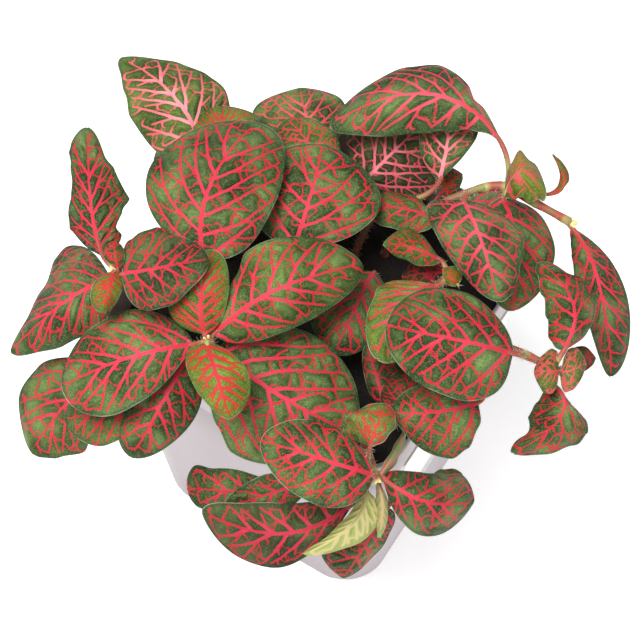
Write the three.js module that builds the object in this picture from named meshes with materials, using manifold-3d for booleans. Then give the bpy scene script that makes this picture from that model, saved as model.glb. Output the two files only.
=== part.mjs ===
import * as THREE from "three";
import { mergeVertices } from "three/addons/utils/BufferGeometryUtils.js";
import Module from "manifold-3d";

// A red-veined nerve plant in a square plastic pot. Millimetres, +Z up.
// The origin is the centre of the pot's underside, on the surface it stands on.

// Pot
const POT_HEIGHT = 121;
const RIM_SIDE = 110;
const BASE_SIDE = 90;
const COLLAR_BOTTOM = 106;
const COLLAR_STEP = 1.4;
const WALL = 1.4;
const FLOOR_TOP = 4;
const FOOT_HEIGHT = 2;
const FOOT_WIDTH = 4;
const NOTCH_LENGTH = 12;
const PAD_RADIUS = 13;
const DRAIN_RADIUS = 4;
const DRAIN_CIRCLE = 27;
const BASE_CORNER = 15.8;
const RIM_CORNER = 17;
const POT_TURN = THREE.MathUtils.degToRad(-31.9);
const CORNER_STEPS = 5;

// Soil
const SOIL_TOP = 108;
const SOIL_GAP = 0.5;
const SOIL_SWELL = 2.5;
const HOLE_DEPTH = 14;
const HOLE_GAP = 0.9;
const ROOT_DEPTH = 12;

// Label: a bare white sticker on the pot's right-hand front face
const LABEL_LENGTH = 72;
const LABEL_HEIGHT = 49.5;
const LABEL_THICKNESS = 0.3;
const LABEL_GAP = 0.15;
const LABEL_TOP = 103.5;

// Stems and leaves
const STEM_RADIUS = 1.5;
const STEM_SIDES = 5;
const STEM_STEPS = 7;
const PETIOLE_RADIUS = 0.95;
const PETIOLE_SIDES = 3;
const PETIOLE_STEPS = 3;
const BLADE_THICKNESS = 0.7;
const BLADE_ROWS = 6;
const BLADE_COLUMNS = 4;
const BLADE_NECK = 0.7;
const TIP_ROUNDNESS = 0.6;
const CUP_POWER = 1.5;

// The view that the leaves' places were read in: a point of a 640 pixel square picture
// and a height give one place in space.
const VIEW = { elevation: 59.6, distance: 612, aim: 93.3, focal: 1814.8, middle: 320 };

const wasm = await Module();
wasm.setup();
const { Manifold, Mesh } = wasm;

function solid(geometry) {
  const bare = new THREE.BufferGeometry();
  const source = geometry.index ? geometry.toNonIndexed() : geometry;
  bare.setAttribute("position", source.getAttribute("position"));
  const merged = mergeVertices(bare, 1e-4);
  return new Manifold(
    new Mesh({
      numProp: 3,
      vertProperties: merged.attributes.position.array,
      triVerts: new Uint32Array(merged.index.array),
    }),
  );
}

function fromRows(points, triangles) {
  const geometry = new THREE.BufferGeometry().setFromPoints(points);
  geometry.setIndex(triangles);
  return solid(geometry);
}

function joined(solids) {
  return solids.reduce((whole, next) => whole.add(next));
}

// Scraps that a cut leaves loose are dropped: the largest body stays.
function largestBody(whole) {
  const bodies = whole.decompose();
  return bodies.reduce((best, next) => (next.volume() > best.volume() ? next : best));
}

function named(name, whole, material) {
  const { numProp, vertProperties, triVerts } = whole.getMesh();
  const points = [];
  for (let i = 0; i < vertProperties.length; i += numProp)
    points.push(new THREE.Vector3(vertProperties[i], vertProperties[i + 1], vertProperties[i + 2]));
  const geometry = new THREE.BufferGeometry().setFromPoints(points);
  geometry.setIndex(Array.from(triVerts));
  geometry.computeVertexNormals();
  const mesh = new THREE.Mesh(geometry, material);
  mesh.name = name;
  return mesh;
}

// One level ring of a square with rounded corners, turned as the pot stands.
function squareRing(half, corner, z) {
  const ring = [];
  for (let side = 0; side < 4; side++) {
    const heading = POT_TURN + (side * Math.PI) / 2;
    const centre = new THREE.Vector2(half - corner, half - corner).rotateAround(
      new THREE.Vector2(),
      heading,
    );
    for (let step = 0; step <= CORNER_STEPS; step++) {
      const angle = heading + (step / CORNER_STEPS) * (Math.PI / 2);
      ring.push(
        new THREE.Vector3(
          centre.x + corner * Math.cos(angle),
          centre.y + corner * Math.sin(angle),
          z,
        ),
      );
    }
  }
  return ring;
}

// Rings of equal length, bottom to top, become one closed solid.
function loft(rings) {
  const count = rings[0].length;
  const points = rings.flat();
  const triangles = [];
  for (let level = 0; level + 1 < rings.length; level++)
    for (let i = 0; i < count; i++) {
      const a = level * count + i;
      const b = level * count + ((i + 1) % count);
      triangles.push(a, b, b + count, a, b + count, a + count);
    }
  for (const [level, up] of [[0, false], [rings.length - 1, true]]) {
    const middle = points.length;
    const ring = rings[level];
    const sum = ring.reduce((total, p) => total.add(p), new THREE.Vector3());
    points.push(sum.divideScalar(count));
    for (let i = 0; i < count; i++) {
      const a = level * count + i;
      const b = level * count + ((i + 1) % count);
      triangles.push(...(up ? [middle, a, b] : [middle, b, a]));
    }
  }
  return fromRows(points, triangles);
}

// Half the wall's outer side at a height below the collar.
function wallHalf(z) {
  const top = RIM_SIDE / 2 - COLLAR_STEP - 0.8;
  return THREE.MathUtils.lerp(BASE_SIDE / 2, top, z / COLLAR_BOTTOM);
}

function cornerAt(z) {
  return THREE.MathUtils.lerp(BASE_CORNER, RIM_CORNER, z / POT_HEIGHT);
}

function turnedBox(width, depth, height, z) {
  const box = new THREE.BoxGeometry(width, depth, height);
  box.translate(0, 0, z);
  box.rotateZ(POT_TURN);
  return solid(box);
}

function uprightCylinder(radius, x, y, low, high, sides) {
  const cylinder = new THREE.CylinderGeometry(radius, radius, high - low, sides);
  cylinder.rotateX(Math.PI / 2);
  cylinder.translate(x, y, (low + high) / 2);
  return solid(cylinder);
}

function makePot() {
  const outer = (half, z) => squareRing(half, cornerAt(z), z);
  const rimHalf = RIM_SIDE / 2;
  const shell = loft([
    outer(wallHalf(0) - 1, 0),
    outer(wallHalf(1.2), 1.2),
    outer(wallHalf(COLLAR_BOTTOM), COLLAR_BOTTOM),
    outer(rimHalf - 0.8, COLLAR_BOTTOM + 0.6),
    outer(rimHalf, POT_HEIGHT - 0.8),
    outer(rimHalf - 0.6, POT_HEIGHT),
  ]);
  const inner = (half, z) => squareRing(half - WALL, cornerAt(z) - WALL, z);
  const hollow = loft([
    inner(wallHalf(FLOOR_TOP), FLOOR_TOP),
    inner(wallHalf(COLLAR_BOTTOM - 3), COLLAR_BOTTOM - 3),
    inner(rimHalf - 0.9, COLLAR_BOTTOM + 1),
    inner(rimHalf - 0.1, POT_HEIGHT + 1),
  ]);
  const slab = 2 * FOOT_HEIGHT;
  const inside = BASE_SIDE - 2 * FOOT_WIDTH;
  const between = BASE_SIDE - 2 * NOTCH_LENGTH;
  const recess = turnedBox(inside, inside, slab, 0);
  const notches = turnedBox(RIM_SIDE, RIM_SIDE, slab, 0)
    .subtract(turnedBox(RIM_SIDE, between, 2 * slab, 0))
    .subtract(turnedBox(between, RIM_SIDE, 2 * slab, 0));
  const pad = uprightCylinder(PAD_RADIUS, 0, 0, 0, FOOT_HEIGHT + 1, 24);
  let pot = shell.subtract(hollow).subtract(recess).subtract(notches).add(pad);
  for (let i = 0; i < 4; i++) {
    const angle = POT_TURN + (i * Math.PI) / 2;
    const x = DRAIN_CIRCLE * Math.cos(angle);
    const y = DRAIN_CIRCLE * Math.sin(angle);
    pot = pot.subtract(uprightCylinder(DRAIN_RADIUS, x, y, -1, FLOOR_TOP + 1, 12));
  }
  return largestBody(pot);
}

// A repeatable spread of small numbers between -1 and 1.
function scatter(i, j) {
  return Math.sin(12.9898 * i + 78.233 * j + 4.1);
}

function makeSoil(shoots) {
  const edge = (z) => {
    const half = z < COLLAR_BOTTOM - 3 ? wallHalf(z) : wallHalf(COLLAR_BOTTOM - 3);
    return squareRing(half - WALL - SOIL_GAP, cornerAt(z) - WALL - SOIL_GAP, z);
  };
  const rings = [edge(FLOOR_TOP + SOIL_GAP), edge(COLLAR_BOTTOM - 3), edge(SOIL_TOP)];
  for (const inset of [0.8, 0.55, 0.25])
    rings.push(
      rings[2].map((p, i) => {
        const swell = SOIL_SWELL * (1 - inset) + scatter(i, inset * 10);
        return new THREE.Vector3(p.x * inset, p.y * inset, SOIL_TOP + swell);
      }),
    );
  let soil = loft(rings);
  for (const { root } of shoots)
    soil = soil.subtract(
      uprightCylinder(STEM_RADIUS + HOLE_GAP, ...root, SOIL_TOP - HOLE_DEPTH, SOIL_TOP + 9, 8),
    );
  return largestBody(soil);
}

function makeLabel() {
  const label = new THREE.BoxGeometry(LABEL_THICKNESS, LABEL_LENGTH, LABEL_HEIGHT);
  const bottom = LABEL_TOP - LABEL_HEIGHT;
  const lean = Math.atan2(wallHalf(LABEL_TOP) - wallHalf(bottom), LABEL_HEIGHT);
  label.rotateY(lean);
  const z = LABEL_TOP - LABEL_HEIGHT / 2;
  label.translate(wallHalf(z) + LABEL_GAP + LABEL_THICKNESS / 2, 0, z);
  label.rotateZ(POT_TURN);
  return solid(label);
}

// A place in millimetres.
const at = (x, y, z) => new THREE.Vector3(x, y, z);

// A place is given either in millimetres, or as [column, row, height] as read in the view.
function place(p) {
  if (p.isVector3) return p.clone();
  const [column, row, z] = p;
  const e = THREE.MathUtils.degToRad(VIEW.elevation);
  const forward = new THREE.Vector3(0, Math.cos(e), -Math.sin(e));
  const up = new THREE.Vector3(0, Math.sin(e), Math.cos(e));
  const eye = new THREE.Vector3(0, 0, VIEW.aim).addScaledVector(forward, -VIEW.distance);
  const ray = forward
    .clone()
    .addScaledVector(new THREE.Vector3(1, 0, 0), (column - VIEW.middle) / VIEW.focal)
    .addScaledVector(up, (VIEW.middle - row) / VIEW.focal);
  return eye.addScaledVector(ray, (z - eye.z) / ray.z);
}

// The midrib is an arc through the base, the middle and the tip.
function midrib(leaf) {
  const base = place(leaf.base);
  const tip = place(leaf.tip);
  const middle = place(leaf.mid);
  const control = middle.multiplyScalar(2).addScaledVector(base.clone().add(tip), -0.5);
  return new THREE.QuadraticBezierCurve3(base, control, tip);
}

// How wide a blade is along its length, 1 at its widest place.
function outline(u, widest, roundness) {
  const base = (roundness * widest) / (1 - widest);
  const rise = Math.pow(u / widest, base);
  const fall = Math.pow((1 - u) / (1 - widest), roundness);
  return rise * fall;
}

// A trim makes an edge fuller or narrower: pairs of a place along the blade and a factor.
function trimmed(trim, u) {
  if (!trim) return 1;
  const next = trim.findIndex(([place]) => place > u);
  if (next === 0) return trim[0][1];
  if (next < 0) return trim[trim.length - 1][1];
  const [start, first] = trim[next - 1];
  const [end, second] = trim[next];
  return THREE.MathUtils.lerp(first, second, THREE.MathUtils.smoothstep(u, start, end));
}

// One side of a blade: where it is widest, and how it reaches out and up to its edge there.
function bladeSide(rib, axis, normal, edge, trim) {
  const length = rib.v2.distanceTo(rib.v0);
  const along = edge.clone().sub(rib.v0).dot(axis) / length;
  const widest = THREE.MathUtils.clamp(along, 0.28, 0.68);
  const reach = edge.clone().sub(rib.getPoint(widest));
  const rise = reach.dot(normal);
  return { widest, rise, flat: reach.addScaledVector(normal, -rise), trim };
}

function makeBlade(leaf) {
  const rib = midrib(leaf);
  const axis = rib.v2.clone().sub(rib.v0).normalize();
  const left = place(leaf.left);
  const right = place(leaf.right);
  const normal = axis.clone().cross(left.clone().sub(right)).normalize();
  const sides = [
    bladeSide(rib, axis, normal, left, leaf.trimLeft),
    bladeSide(rib, axis, normal, right, leaf.trimRight),
  ];
  const roundness = leaf.roundness ?? TIP_ROUNDNESS;
  const wave = leaf.wave ?? 0.5;
  const ripples = leaf.ripples ?? 2.5;

  const surface = (u, v) => {
    const side = sides[v > 0 ? 0 : 1];
    const width = Math.max(
      outline(u, side.widest, roundness) * trimmed(side.trim, u),
      BLADE_NECK / side.flat.length(),
    );
    const out = Math.abs(v);
    const ripple = Math.sin(ripples * 2 * Math.PI * u + (v > 0 ? 0 : 2));
    const lift = width * (Math.pow(out, CUP_POWER) * side.rise + wave * out * out * ripple);
    return rib.getPoint(u).addScaledVector(side.flat, width * out).addScaledVector(normal, lift);
  };

  const rows = BLADE_ROWS + 1;
  const columns = BLADE_COLUMNS + 1;
  const tops = [];
  const bottoms = [];
  for (let i = 0; i < rows; i++)
    for (let j = 0; j < columns; j++) {
      const u = 0.5 * (1 - Math.cos((Math.PI * i) / BLADE_ROWS));
      const v = (2 * j) / BLADE_COLUMNS - 1;
      const p = surface(u, v);
      tops.push(p.clone().addScaledVector(normal, BLADE_THICKNESS / 2));
      bottoms.push(p.addScaledVector(normal, -BLADE_THICKNESS / 2));
    }

  const count = rows * columns;
  const triangles = [];
  const quad = (a, b, c, d) => triangles.push(a, b, c, a, c, d);
  for (let i = 0; i < BLADE_ROWS; i++)
    for (let j = 0; j < BLADE_COLUMNS; j++) {
      const a = i * columns + j;
      const b = a + columns;
      quad(a, a + 1, b + 1, b);
      triangles.push(count + a, count + b + 1, count + a + 1);
      triangles.push(count + a, count + b, count + b + 1);
    }
  const border = [];
  for (let j = 0; j < BLADE_COLUMNS; j++) border.push(j);
  for (let i = 0; i < BLADE_ROWS; i++) border.push(i * columns + BLADE_COLUMNS);
  for (let j = BLADE_COLUMNS; j > 0; j--) border.push(BLADE_ROWS * columns + j);
  for (let i = BLADE_ROWS; i > 0; i--) border.push(i * columns);
  border.forEach((a, k) => {
    const b = border[(k + 1) % border.length];
    quad(a, a + count, b + count, b);
  });
  const blade = fromRows([...tops, ...bottoms], triangles);
  return blade.volume() > 0 ? blade : fromRows([...tops, ...bottoms], triangles.reverse());
}

function makeTube(curve, radius, sides, steps) {
  const section = new THREE.Shape();
  for (let i = 0; i < sides; i++) {
    const angle = (2 * Math.PI * i) / sides;
    const x = radius * Math.cos(angle);
    const y = radius * Math.sin(angle);
    if (i === 0) section.moveTo(x, y);
    else section.lineTo(x, y);
  }
  section.closePath();
  const options = { extrudePath: curve, steps, bevelEnabled: false };
  return solid(new THREE.ExtrudeGeometry(section, options));
}

// A stem stands upright in its hole, then follows its places up to the youngest leaves.
function stemCurve(shoot) {
  const [x, y] = shoot.root;
  const foot = [
    new THREE.Vector3(x, y, SOIL_TOP - ROOT_DEPTH),
    new THREE.Vector3(x, y, SOIL_TOP - 3),
    new THREE.Vector3(x, y, SOIL_TOP + 6),
  ];
  return new THREE.CatmullRomCurve3([...foot, ...shoot.path.map(place)]);
}

function makeShoot(shoot) {
  const stem = stemCurve(shoot);
  const solids = [makeTube(stem, STEM_RADIUS, STEM_SIDES, STEM_STEPS)];
  for (const leaf of shoot.leaves) {
    const rib = midrib(leaf);
    const start = stem.getPoint(leaf.joint ?? 0.97);
    const length = start.distanceTo(rib.v0);
    const into = rib.getPoint(0.05);
    const control = rib.v0.clone().addScaledVector(rib.getTangent(0), -0.4 * length);
    const petiole = new THREE.CubicBezierCurve3(start, control, rib.v0, into);
    solids.push(makeTube(petiole, PETIOLE_RADIUS, PETIOLE_SIDES, PETIOLE_STEPS));
    solids.push(makeBlade(leaf));
  }
  return largestBody(joined(solids));
}

// Each leafy stem: where it stands in the soil, the places its stem passes, and its leaves.
// A leaf is given by its base, the middle of its midrib, its tip and the widest place of each
// edge, seen from its upper side with the base at the bottom. Trims follow uneven edges.
const SHOOTS = [
  {
    name: "shoot_left_front",
    root: [-22, -28],
    path: [at(-29, -38, 135), [207, 338, 157]],
    leaves: [
      {
        base: [213, 334, 157], mid: [277, 290, 161], tip: [362, 264, 153],
        left: [262, 243, 159], right: [300, 325, 151],
        trimLeft: [[0.15, 0.55], [0.3, 0.75], [0.42, 1]],
      },
      {
        base: [194, 344, 156], mid: [130, 358, 158], tip: [62, 388, 146],
        left: [122, 412, 149], right: [118, 313, 155],
      },
      {
        base: [205, 335, 159], mid: [200, 298, 164], tip: [211, 250, 163],
        left: [168, 304, 161], right: [229, 290, 162],
      },
      {
        base: [207, 343, 158], mid: [217, 380, 161], tip: [230, 419, 154],
        left: [249, 376, 158], right: [187, 369, 158],
      },
      {
        base: [216, 350, 149], mid: [280, 394, 144], tip: [354, 434, 132],
        left: [318, 338, 139], right: [230, 452, 131], joint: 0.75,
        trimRight: [[0.1, 0.75], [0.25, 0.85], [0.42, 1]],
      },
      {
        base: [186, 358, 148], mid: [160, 406, 146], tip: [131, 457, 134],
        left: [196, 420, 136], right: [124, 414, 138], joint: 0.75,
        trimLeft: [[0.3, 0.95], [0.8, 0.9]],
      },
      {
        base: [160, 392, 140], mid: [112, 410, 138], tip: [64, 418, 130],
        left: [108, 445, 132], right: [104, 384, 134], joint: 0.6,
      },
    ],
  },
  {
    name: "shoot_left",
    root: [-38, -4],
    path: [at(-50, -12, 140), [115, 270, 166]],
    leaves: [
      {
        base: [104, 257, 160], mid: [91, 205, 166], tip: [87, 128, 160],
        left: [68, 213, 162], right: [130, 200, 160], wave: 1.6, ripples: 3,
        trimLeft: [
          [0.12, 1.2], [0.3, 1], [0.5, 0.8], [0.62, 0.76], [0.72, 0.9], [0.81, 1.15], [0.92, 1.35],
        ],
        trimRight: [[0.14, 0.72], [0.23, 0.55], [0.32, 0.75], [0.41, 1], [0.65, 0.8], [0.8, 0.67]],
      },
      {
        base: [121, 274, 168], mid: [163, 268, 172], tip: [209, 259, 169],
        left: [160, 227, 170], right: [156, 312, 165],
        trimLeft: [[0.05, 1.5], [0.2, 1.15], [0.45, 1], [0.7, 0.8], [0.85, 0.75]],
        trimRight: [[0.5, 0.95], [0.8, 0.85]],
      },
      {
        base: [117, 268, 170], mid: [115, 254, 172], tip: [114, 241, 171],
        left: [103, 254, 169], right: [125, 254, 170],
      },
      {
        base: [113, 272, 168], mid: [108, 292, 169], tip: [102, 313, 164],
        left: [122, 290, 166], right: [91, 290, 166],
      },
      {
        base: [112, 280, 154], mid: [68, 299, 153], tip: [11, 351, 132],
        left: [88, 334, 144], right: [65, 257, 142], joint: 0.75,
        trimLeft: [[0.6, 1], [0.85, 0.9]],
        trimRight: [[0.25, 1.25], [0.45, 1.1], [0.65, 0.75], [0.85, 0.5]],
      },
      {
        base: [108, 370, 131], mid: [70, 400, 126], tip: [31, 452, 106],
        left: [84, 455, 109], right: [32, 372, 118], joint: 0.45, wave: 1.2,
        trimLeft: [[0.65, 0.95], [0.85, 0.72], [0.95, 0.6]],
      },
    ],
  },
  {
    name: "shoot_back_left",
    root: [-24, 14],
    path: [at(-32, 8, 136), at(-36, -4, 152)],
    leaves: [
      {
        base: [203, 259, 158], mid: [209, 186, 163], tip: [256, 122, 156],
        left: [150, 168, 156], right: [276, 200, 156], roundness: 0.5,
      },
      {
        base: [203, 164, 140], mid: [178, 101, 149], tip: [121, 58, 142],
        left: [137, 128, 141], right: [218, 86, 143], joint: 0.5,
        trimLeft: [[0.55, 1], [0.75, 0.82], [0.92, 0.65]],
        trimRight: [[0.35, 1.1], [0.55, 1], [0.72, 0.85], [0.88, 0.7]],
      },
      {
        base: [224, 150, 146], mid: [224, 128, 150], tip: [224, 106, 147],
        left: [191, 124, 146], right: [256, 120, 146], joint: 0.5,
      },
      {
        base: at(-42, 22, 130), mid: at(-50, 34, 126), tip: at(-56, 47, 104),
        left: at(-55, 30, 119), right: at(-42, 40, 120), joint: 0.6,
      },
    ],
  },
  {
    name: "shoot_back",
    root: [-2, 18],
    path: [at(-4, 14, 128), at(-6, 4, 144)],
    leaves: [
      {
        base: [293, 247, 146], mid: [312, 194, 152], tip: [324, 144, 150],
        left: [256, 190, 148], right: [380, 207, 147],
        trimLeft: [[0.6, 1], [0.85, 1.25]],
        trimRight: [[0.6, 1], [0.85, 0.95]],
      },
      {
        base: [318, 158, 138], mid: [308, 120, 143], tip: [300, 88, 138],
        left: [259, 116, 136], right: [346, 108, 137], joint: 0.5,
        trimLeft: [[0.5, 1], [0.78, 1.15]],
        trimRight: [[0.1, 1.25], [0.4, 1]],
      },
      {
        base: [326, 166, 144], mid: [306, 141, 147], tip: [287, 119, 145],
        left: [278, 146, 144], right: [334, 133, 145], joint: 0.6,
      },
    ],
  },
  {
    name: "shoot_back_right",
    root: [22, 16],
    path: [
      at(30, 12, 132), [438, 206, 148], [470, 192, 152],
      [501, 186, 154], [537, 204, 153], [570, 222, 150],
    ],
    leaves: [
      {
        base: [501, 141, 153], mid: [430, 93, 162], tip: [331, 123, 148],
        left: [412, 137, 152], right: [408, 61, 152], joint: 0.77,
        trimLeft: [[0.05, 0.3], [0.18, 0.5], [0.33, 0.75], [0.48, 0.93], [0.62, 1]],
        trimRight: [[0.12, 1], [0.21, 0.68], [0.25, 1.1], [0.4, 1], [0.62, 0.82], [0.8, 0.68]],
      },
      {
        base: [464, 201, 160], mid: [483, 246, 163], tip: [500, 302, 153],
        left: [528, 246, 156], right: [430, 222, 157], joint: 0.69, roundness: 0.5,
        trimLeft: [[0.45, 1], [0.6, 0.88], [0.75, 0.72], [0.9, 0.65]],
      },
      {
        base: [503, 198, 150], mid: [516, 250, 150], tip: [511, 311, 138],
        left: [554, 244, 143], right: [480, 250, 146], joint: 0.77,
      },
      {
        base: [505, 194, 157], mid: [522, 172, 164], tip: [546, 190, 158],
        left: [521, 153, 157], right: [530, 201, 158], joint: 0.78, wave: 1.5,
      },
      {
        base: [540, 194, 155], mid: [564, 186, 158], tip: [552, 155, 160],
        left: [559, 170, 158], right: [569, 176, 158], joint: 0.86,
      },
      {
        base: [572, 228, 149], mid: [600, 286, 140], tip: [611, 376, 112],
        left: [629, 300, 130], right: [578, 290, 132], joint: 0.99,
        trimLeft: [[0.4, 0.95]],
        trimRight: [[0.05, 0.5], [0.12, 0.65], [0.2, 0.8], [0.35, 1]],
      },
      {
        base: [438, 196, 132], mid: [450, 184, 134], tip: [461, 173, 132],
        left: [443, 170, 132], right: [457, 190, 132], joint: 0.4,
      },
      {
        base: [436, 221, 142], mid: [404, 210, 144], tip: [362, 207, 139],
        left: [400, 231, 140], right: [400, 192, 140], joint: 0.4,
      },
      {
        base: at(44, 21, 131), mid: at(59, 24, 128), tip: at(74, 27, 112),
        left: at(57, 34, 122), right: at(64, 14, 128), joint: 0.35,
      },
    ],
  },
  {
    name: "shoot_back_middle",
    root: [10, 8],
    path: [at(14, 13, 126), at(20, 20, 136)],
    leaves: [
      {
        base: [364, 182, 137], mid: [394, 152, 142], tip: [430, 118, 138],
        left: [356, 122, 136], right: [430, 196, 134],
      },
      {
        base: [440, 180, 142], mid: [447, 140, 149], tip: [452, 98, 148],
        left: [420, 132, 146], right: [479, 128, 147],
      },
    ],
  },
  {
    name: "shoot_centre",
    root: [26, -8],
    path: [at(34, -13, 134), [450, 276, 148]],
    leaves: [
      {
        base: [440, 259, 147], mid: [412, 247, 150], tip: [384, 243, 145],
        left: [412, 263, 147], right: [410, 229, 146],
      },
      {
        base: [438, 285, 147], mid: [404, 304, 149], tip: [377, 359, 146],
        left: [424, 338, 147], right: [380, 291, 146],
        trimRight: [[0.08, 1.5], [0.3, 1.15], [0.5, 1]],
      },
      {
        base: [458, 284, 150], mid: [451, 276, 152], tip: [444, 268, 151],
        left: [447, 284, 150], right: [460, 270, 150],
      },
      {
        base: [448, 272, 136], mid: [427, 272, 137], tip: [402, 277, 132],
        left: [426, 290, 133], right: [427, 257, 133], joint: 0.6,
      },
    ],
  },
  {
    name: "shoot_inner",
    root: [4, -10],
    path: [at(10, -14, 124), at(16, -18, 132)],
    leaves: [
      {
        base: [374, 272, 133], mid: [356, 306, 136], tip: [336, 354, 128],
        left: [384, 326, 130], right: [314, 296, 130],
      },
      {
        base: [384, 404, 128], mid: [376, 374, 132], tip: [366, 346, 130],
        left: [366, 383, 128], right: [400, 366, 129], wave: 1.2,
      },
      {
        base: [398, 420, 130], mid: [404, 396, 134], tip: [414, 370, 132],
        left: [382, 388, 131], right: [428, 398, 130],
      },
    ],
  },
  {
    name: "shoot_right",
    root: [32, -24],
    path: [at(46, -33, 140), at(62, -42, 144), [558, 371, 141]],
    leaves: [
      {
        base: [513, 353, 155], mid: [450, 339, 164], tip: [386, 326, 158],
        left: [456, 399, 153], right: [452, 289, 157], joint: 0.8, roundness: 0.5,
      },
      {
        base: [478, 403, 139], mid: [430, 413, 143], tip: [392, 412, 142],
        left: [462, 458, 131], right: [428, 384, 141], joint: 0.5,
        trimLeft: [[0.05, 0.6], [0.2, 0.85], [0.4, 1]],
      },
      {
        base: [564, 350, 146], mid: [573, 305, 151], tip: [540, 262, 147],
        left: [546, 312, 146], right: [595, 303, 146], wave: 1.6, ripples: 4,
      },
      {
        base: [558, 371, 144], mid: [546, 371, 146], tip: [534, 372, 144],
        left: [549, 394, 143], right: [553, 349, 144],
      },
      {
        base: [560, 371, 143], mid: [573, 370, 145], tip: [586, 362, 142],
        left: [570, 348, 143], right: [568, 392, 142],
      },
      {
        base: [555, 387, 138], mid: [561, 416, 136], tip: [513, 453, 122],
        left: [588, 428, 128], right: [528, 416, 128], joint: 0.95, wave: 1.8, ripples: 4,
        trimRight: [[0.5, 1], [0.75, 0.6], [0.92, 0.75]],
      },
      {
        base: [566, 366, 137], mid: [580, 360, 136], tip: [595, 357, 132],
        left: [578, 346, 134], right: [582, 372, 134], joint: 0.95,
      },
    ],
  },
  {
    name: "shoot_front",
    root: [11, -46],
    path: [at(12, -58, 126), [376, 478, 132]],
    leaves: [
      {
        base: [374, 476, 136], mid: [322, 459, 145], tip: [261, 440, 143],
        left: [317, 505, 137], right: [325, 423, 144],
      },
      {
        base: [379, 477, 132], mid: [393, 455, 134], tip: [405, 431, 133],
        left: [390, 453, 133], right: [398, 459, 131],
      },
      {
        base: [383, 477, 131], mid: [425, 500, 132], tip: [474, 501, 119],
        left: [430, 470, 124], right: [424, 536, 116],
        trimLeft: [[0.2, 0.8], [0.45, 0.85], [0.68, 1], [0.88, 1.4]],
      },
      {
        base: [366, 489, 127], mid: [352, 524, 120], tip: [304, 554, 110],
        left: [338, 526, 117], right: [378, 524, 117],
      },
      {
        base: [377, 480, 128], mid: [383, 506, 124], tip: [379, 537, 114],
        left: [388, 508, 122], right: [377, 510, 121],
      },
      {
        base: [352, 505, 121], mid: [281, 534, 114], tip: [202, 512, 116],
        left: [266, 567, 102], right: [272, 503, 118],
      },
      {
        base: [388, 508, 112], mid: [366, 542, 104], tip: [343, 578, 88],
        left: [389, 540, 98], right: [324, 540, 98],
        trimLeft: [[0.3, 0.85], [0.6, 0.9]],
      },
      {
        base: [428, 486, 112], mid: [445, 480, 112], tip: [462, 474, 109],
        left: [440, 470, 110], right: [448, 490, 110],
      },
      {
        base: [370, 446, 144], mid: [377, 424, 149], tip: [387, 404, 147],
        left: [344, 424, 144], right: [394, 428, 146], joint: 0.9, wave: 1.2,
      },
    ],
  },
  {
    name: "shoot_front_left",
    root: [-6, -42],
    path: [at(-5, -54, 124.5), at(-4, -64, 124)],
    leaves: [
      {
        base: [310, 492, 114], mid: [250, 492, 109], tip: [187, 487, 108],
        left: [226, 513, 101], right: [222, 468, 112],
        trimLeft: [[0.8, 1], [0.95, 1.2]],
        trimRight: [[0.75, 1], [0.92, 1.4]],
      },
      {
        base: [322, 478, 127], mid: [276, 490, 119], tip: [226, 505, 114],
        left: [270, 518, 111], right: [268, 474, 124],
      },
    ],
  },
  {
    name: "shoot_back_corner",
    root: [-16, 40],
    path: [at(-20, 50, 127)],
    leaves: [
      {
        base: at(-34, 44, 131), mid: at(-46, 57, 126), tip: at(-54, 67, 102),
        left: at(-54, 47, 118), right: at(-34, 62, 120),
      },
      {
        base: at(-23, 53, 128), mid: at(-30, 62, 127), tip: at(-35, 71, 108),
        left: at(-40, 57, 118), right: at(-23, 62, 124),
      },
      {
        base: at(-14, 54, 130), mid: at(-11, 69, 127), tip: at(-8, 80, 108),
        left: at(-21, 66, 122), right: at(2, 66, 123),
      },
    ],
  },
  {
    name: "shoot_back_edge",
    root: [20, 34],
    path: [at(22, 42, 127)],
    leaves: [
      {
        base: at(12, 51, 131), mid: at(14, 63, 128), tip: at(15, 75, 108),
        left: at(3, 64, 123), right: at(25, 61, 121),
      },
      {
        base: at(26, 45, 129), mid: at(33, 59, 126), tip: at(37, 72, 106),
        left: at(21, 62, 121), right: at(43, 53, 118),
      },
    ],
  },
];

const leafGreen = new THREE.MeshStandardMaterial({ color: 0x3f6b3a, roughness: 0.7, metalness: 0 });
const potPlastic = new THREE.MeshStandardMaterial({ color: 0xcbc1c6, roughness: 0.5, metalness: 0 });
const darkSoil = new THREE.MeshStandardMaterial({ color: 0x1c1512, roughness: 0.95, metalness: 0 });
const whitePaper = new THREE.MeshStandardMaterial({ color: 0xf4f4f2, roughness: 0.6, metalness: 0 });

const plant = new THREE.Group();
plant.add(named("pot", makePot(), potPlastic));
plant.add(named("soil", makeSoil(SHOOTS), darkSoil));
plant.add(named("label", makeLabel(), whitePaper));
for (const shoot of SHOOTS) plant.add(named(shoot.name, makeShoot(shoot), leafGreen));

export default plant;
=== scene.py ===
# %% [markdown]
# # A red-veined nerve plant in a square plastic pot
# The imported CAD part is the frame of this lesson: it says where the pot, the soil, the
# label, every stem and every leaf stands. Here each of them gets a finer shape and its
# finish. Lengths are metres, and +Z is up.

import math
import random

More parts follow.
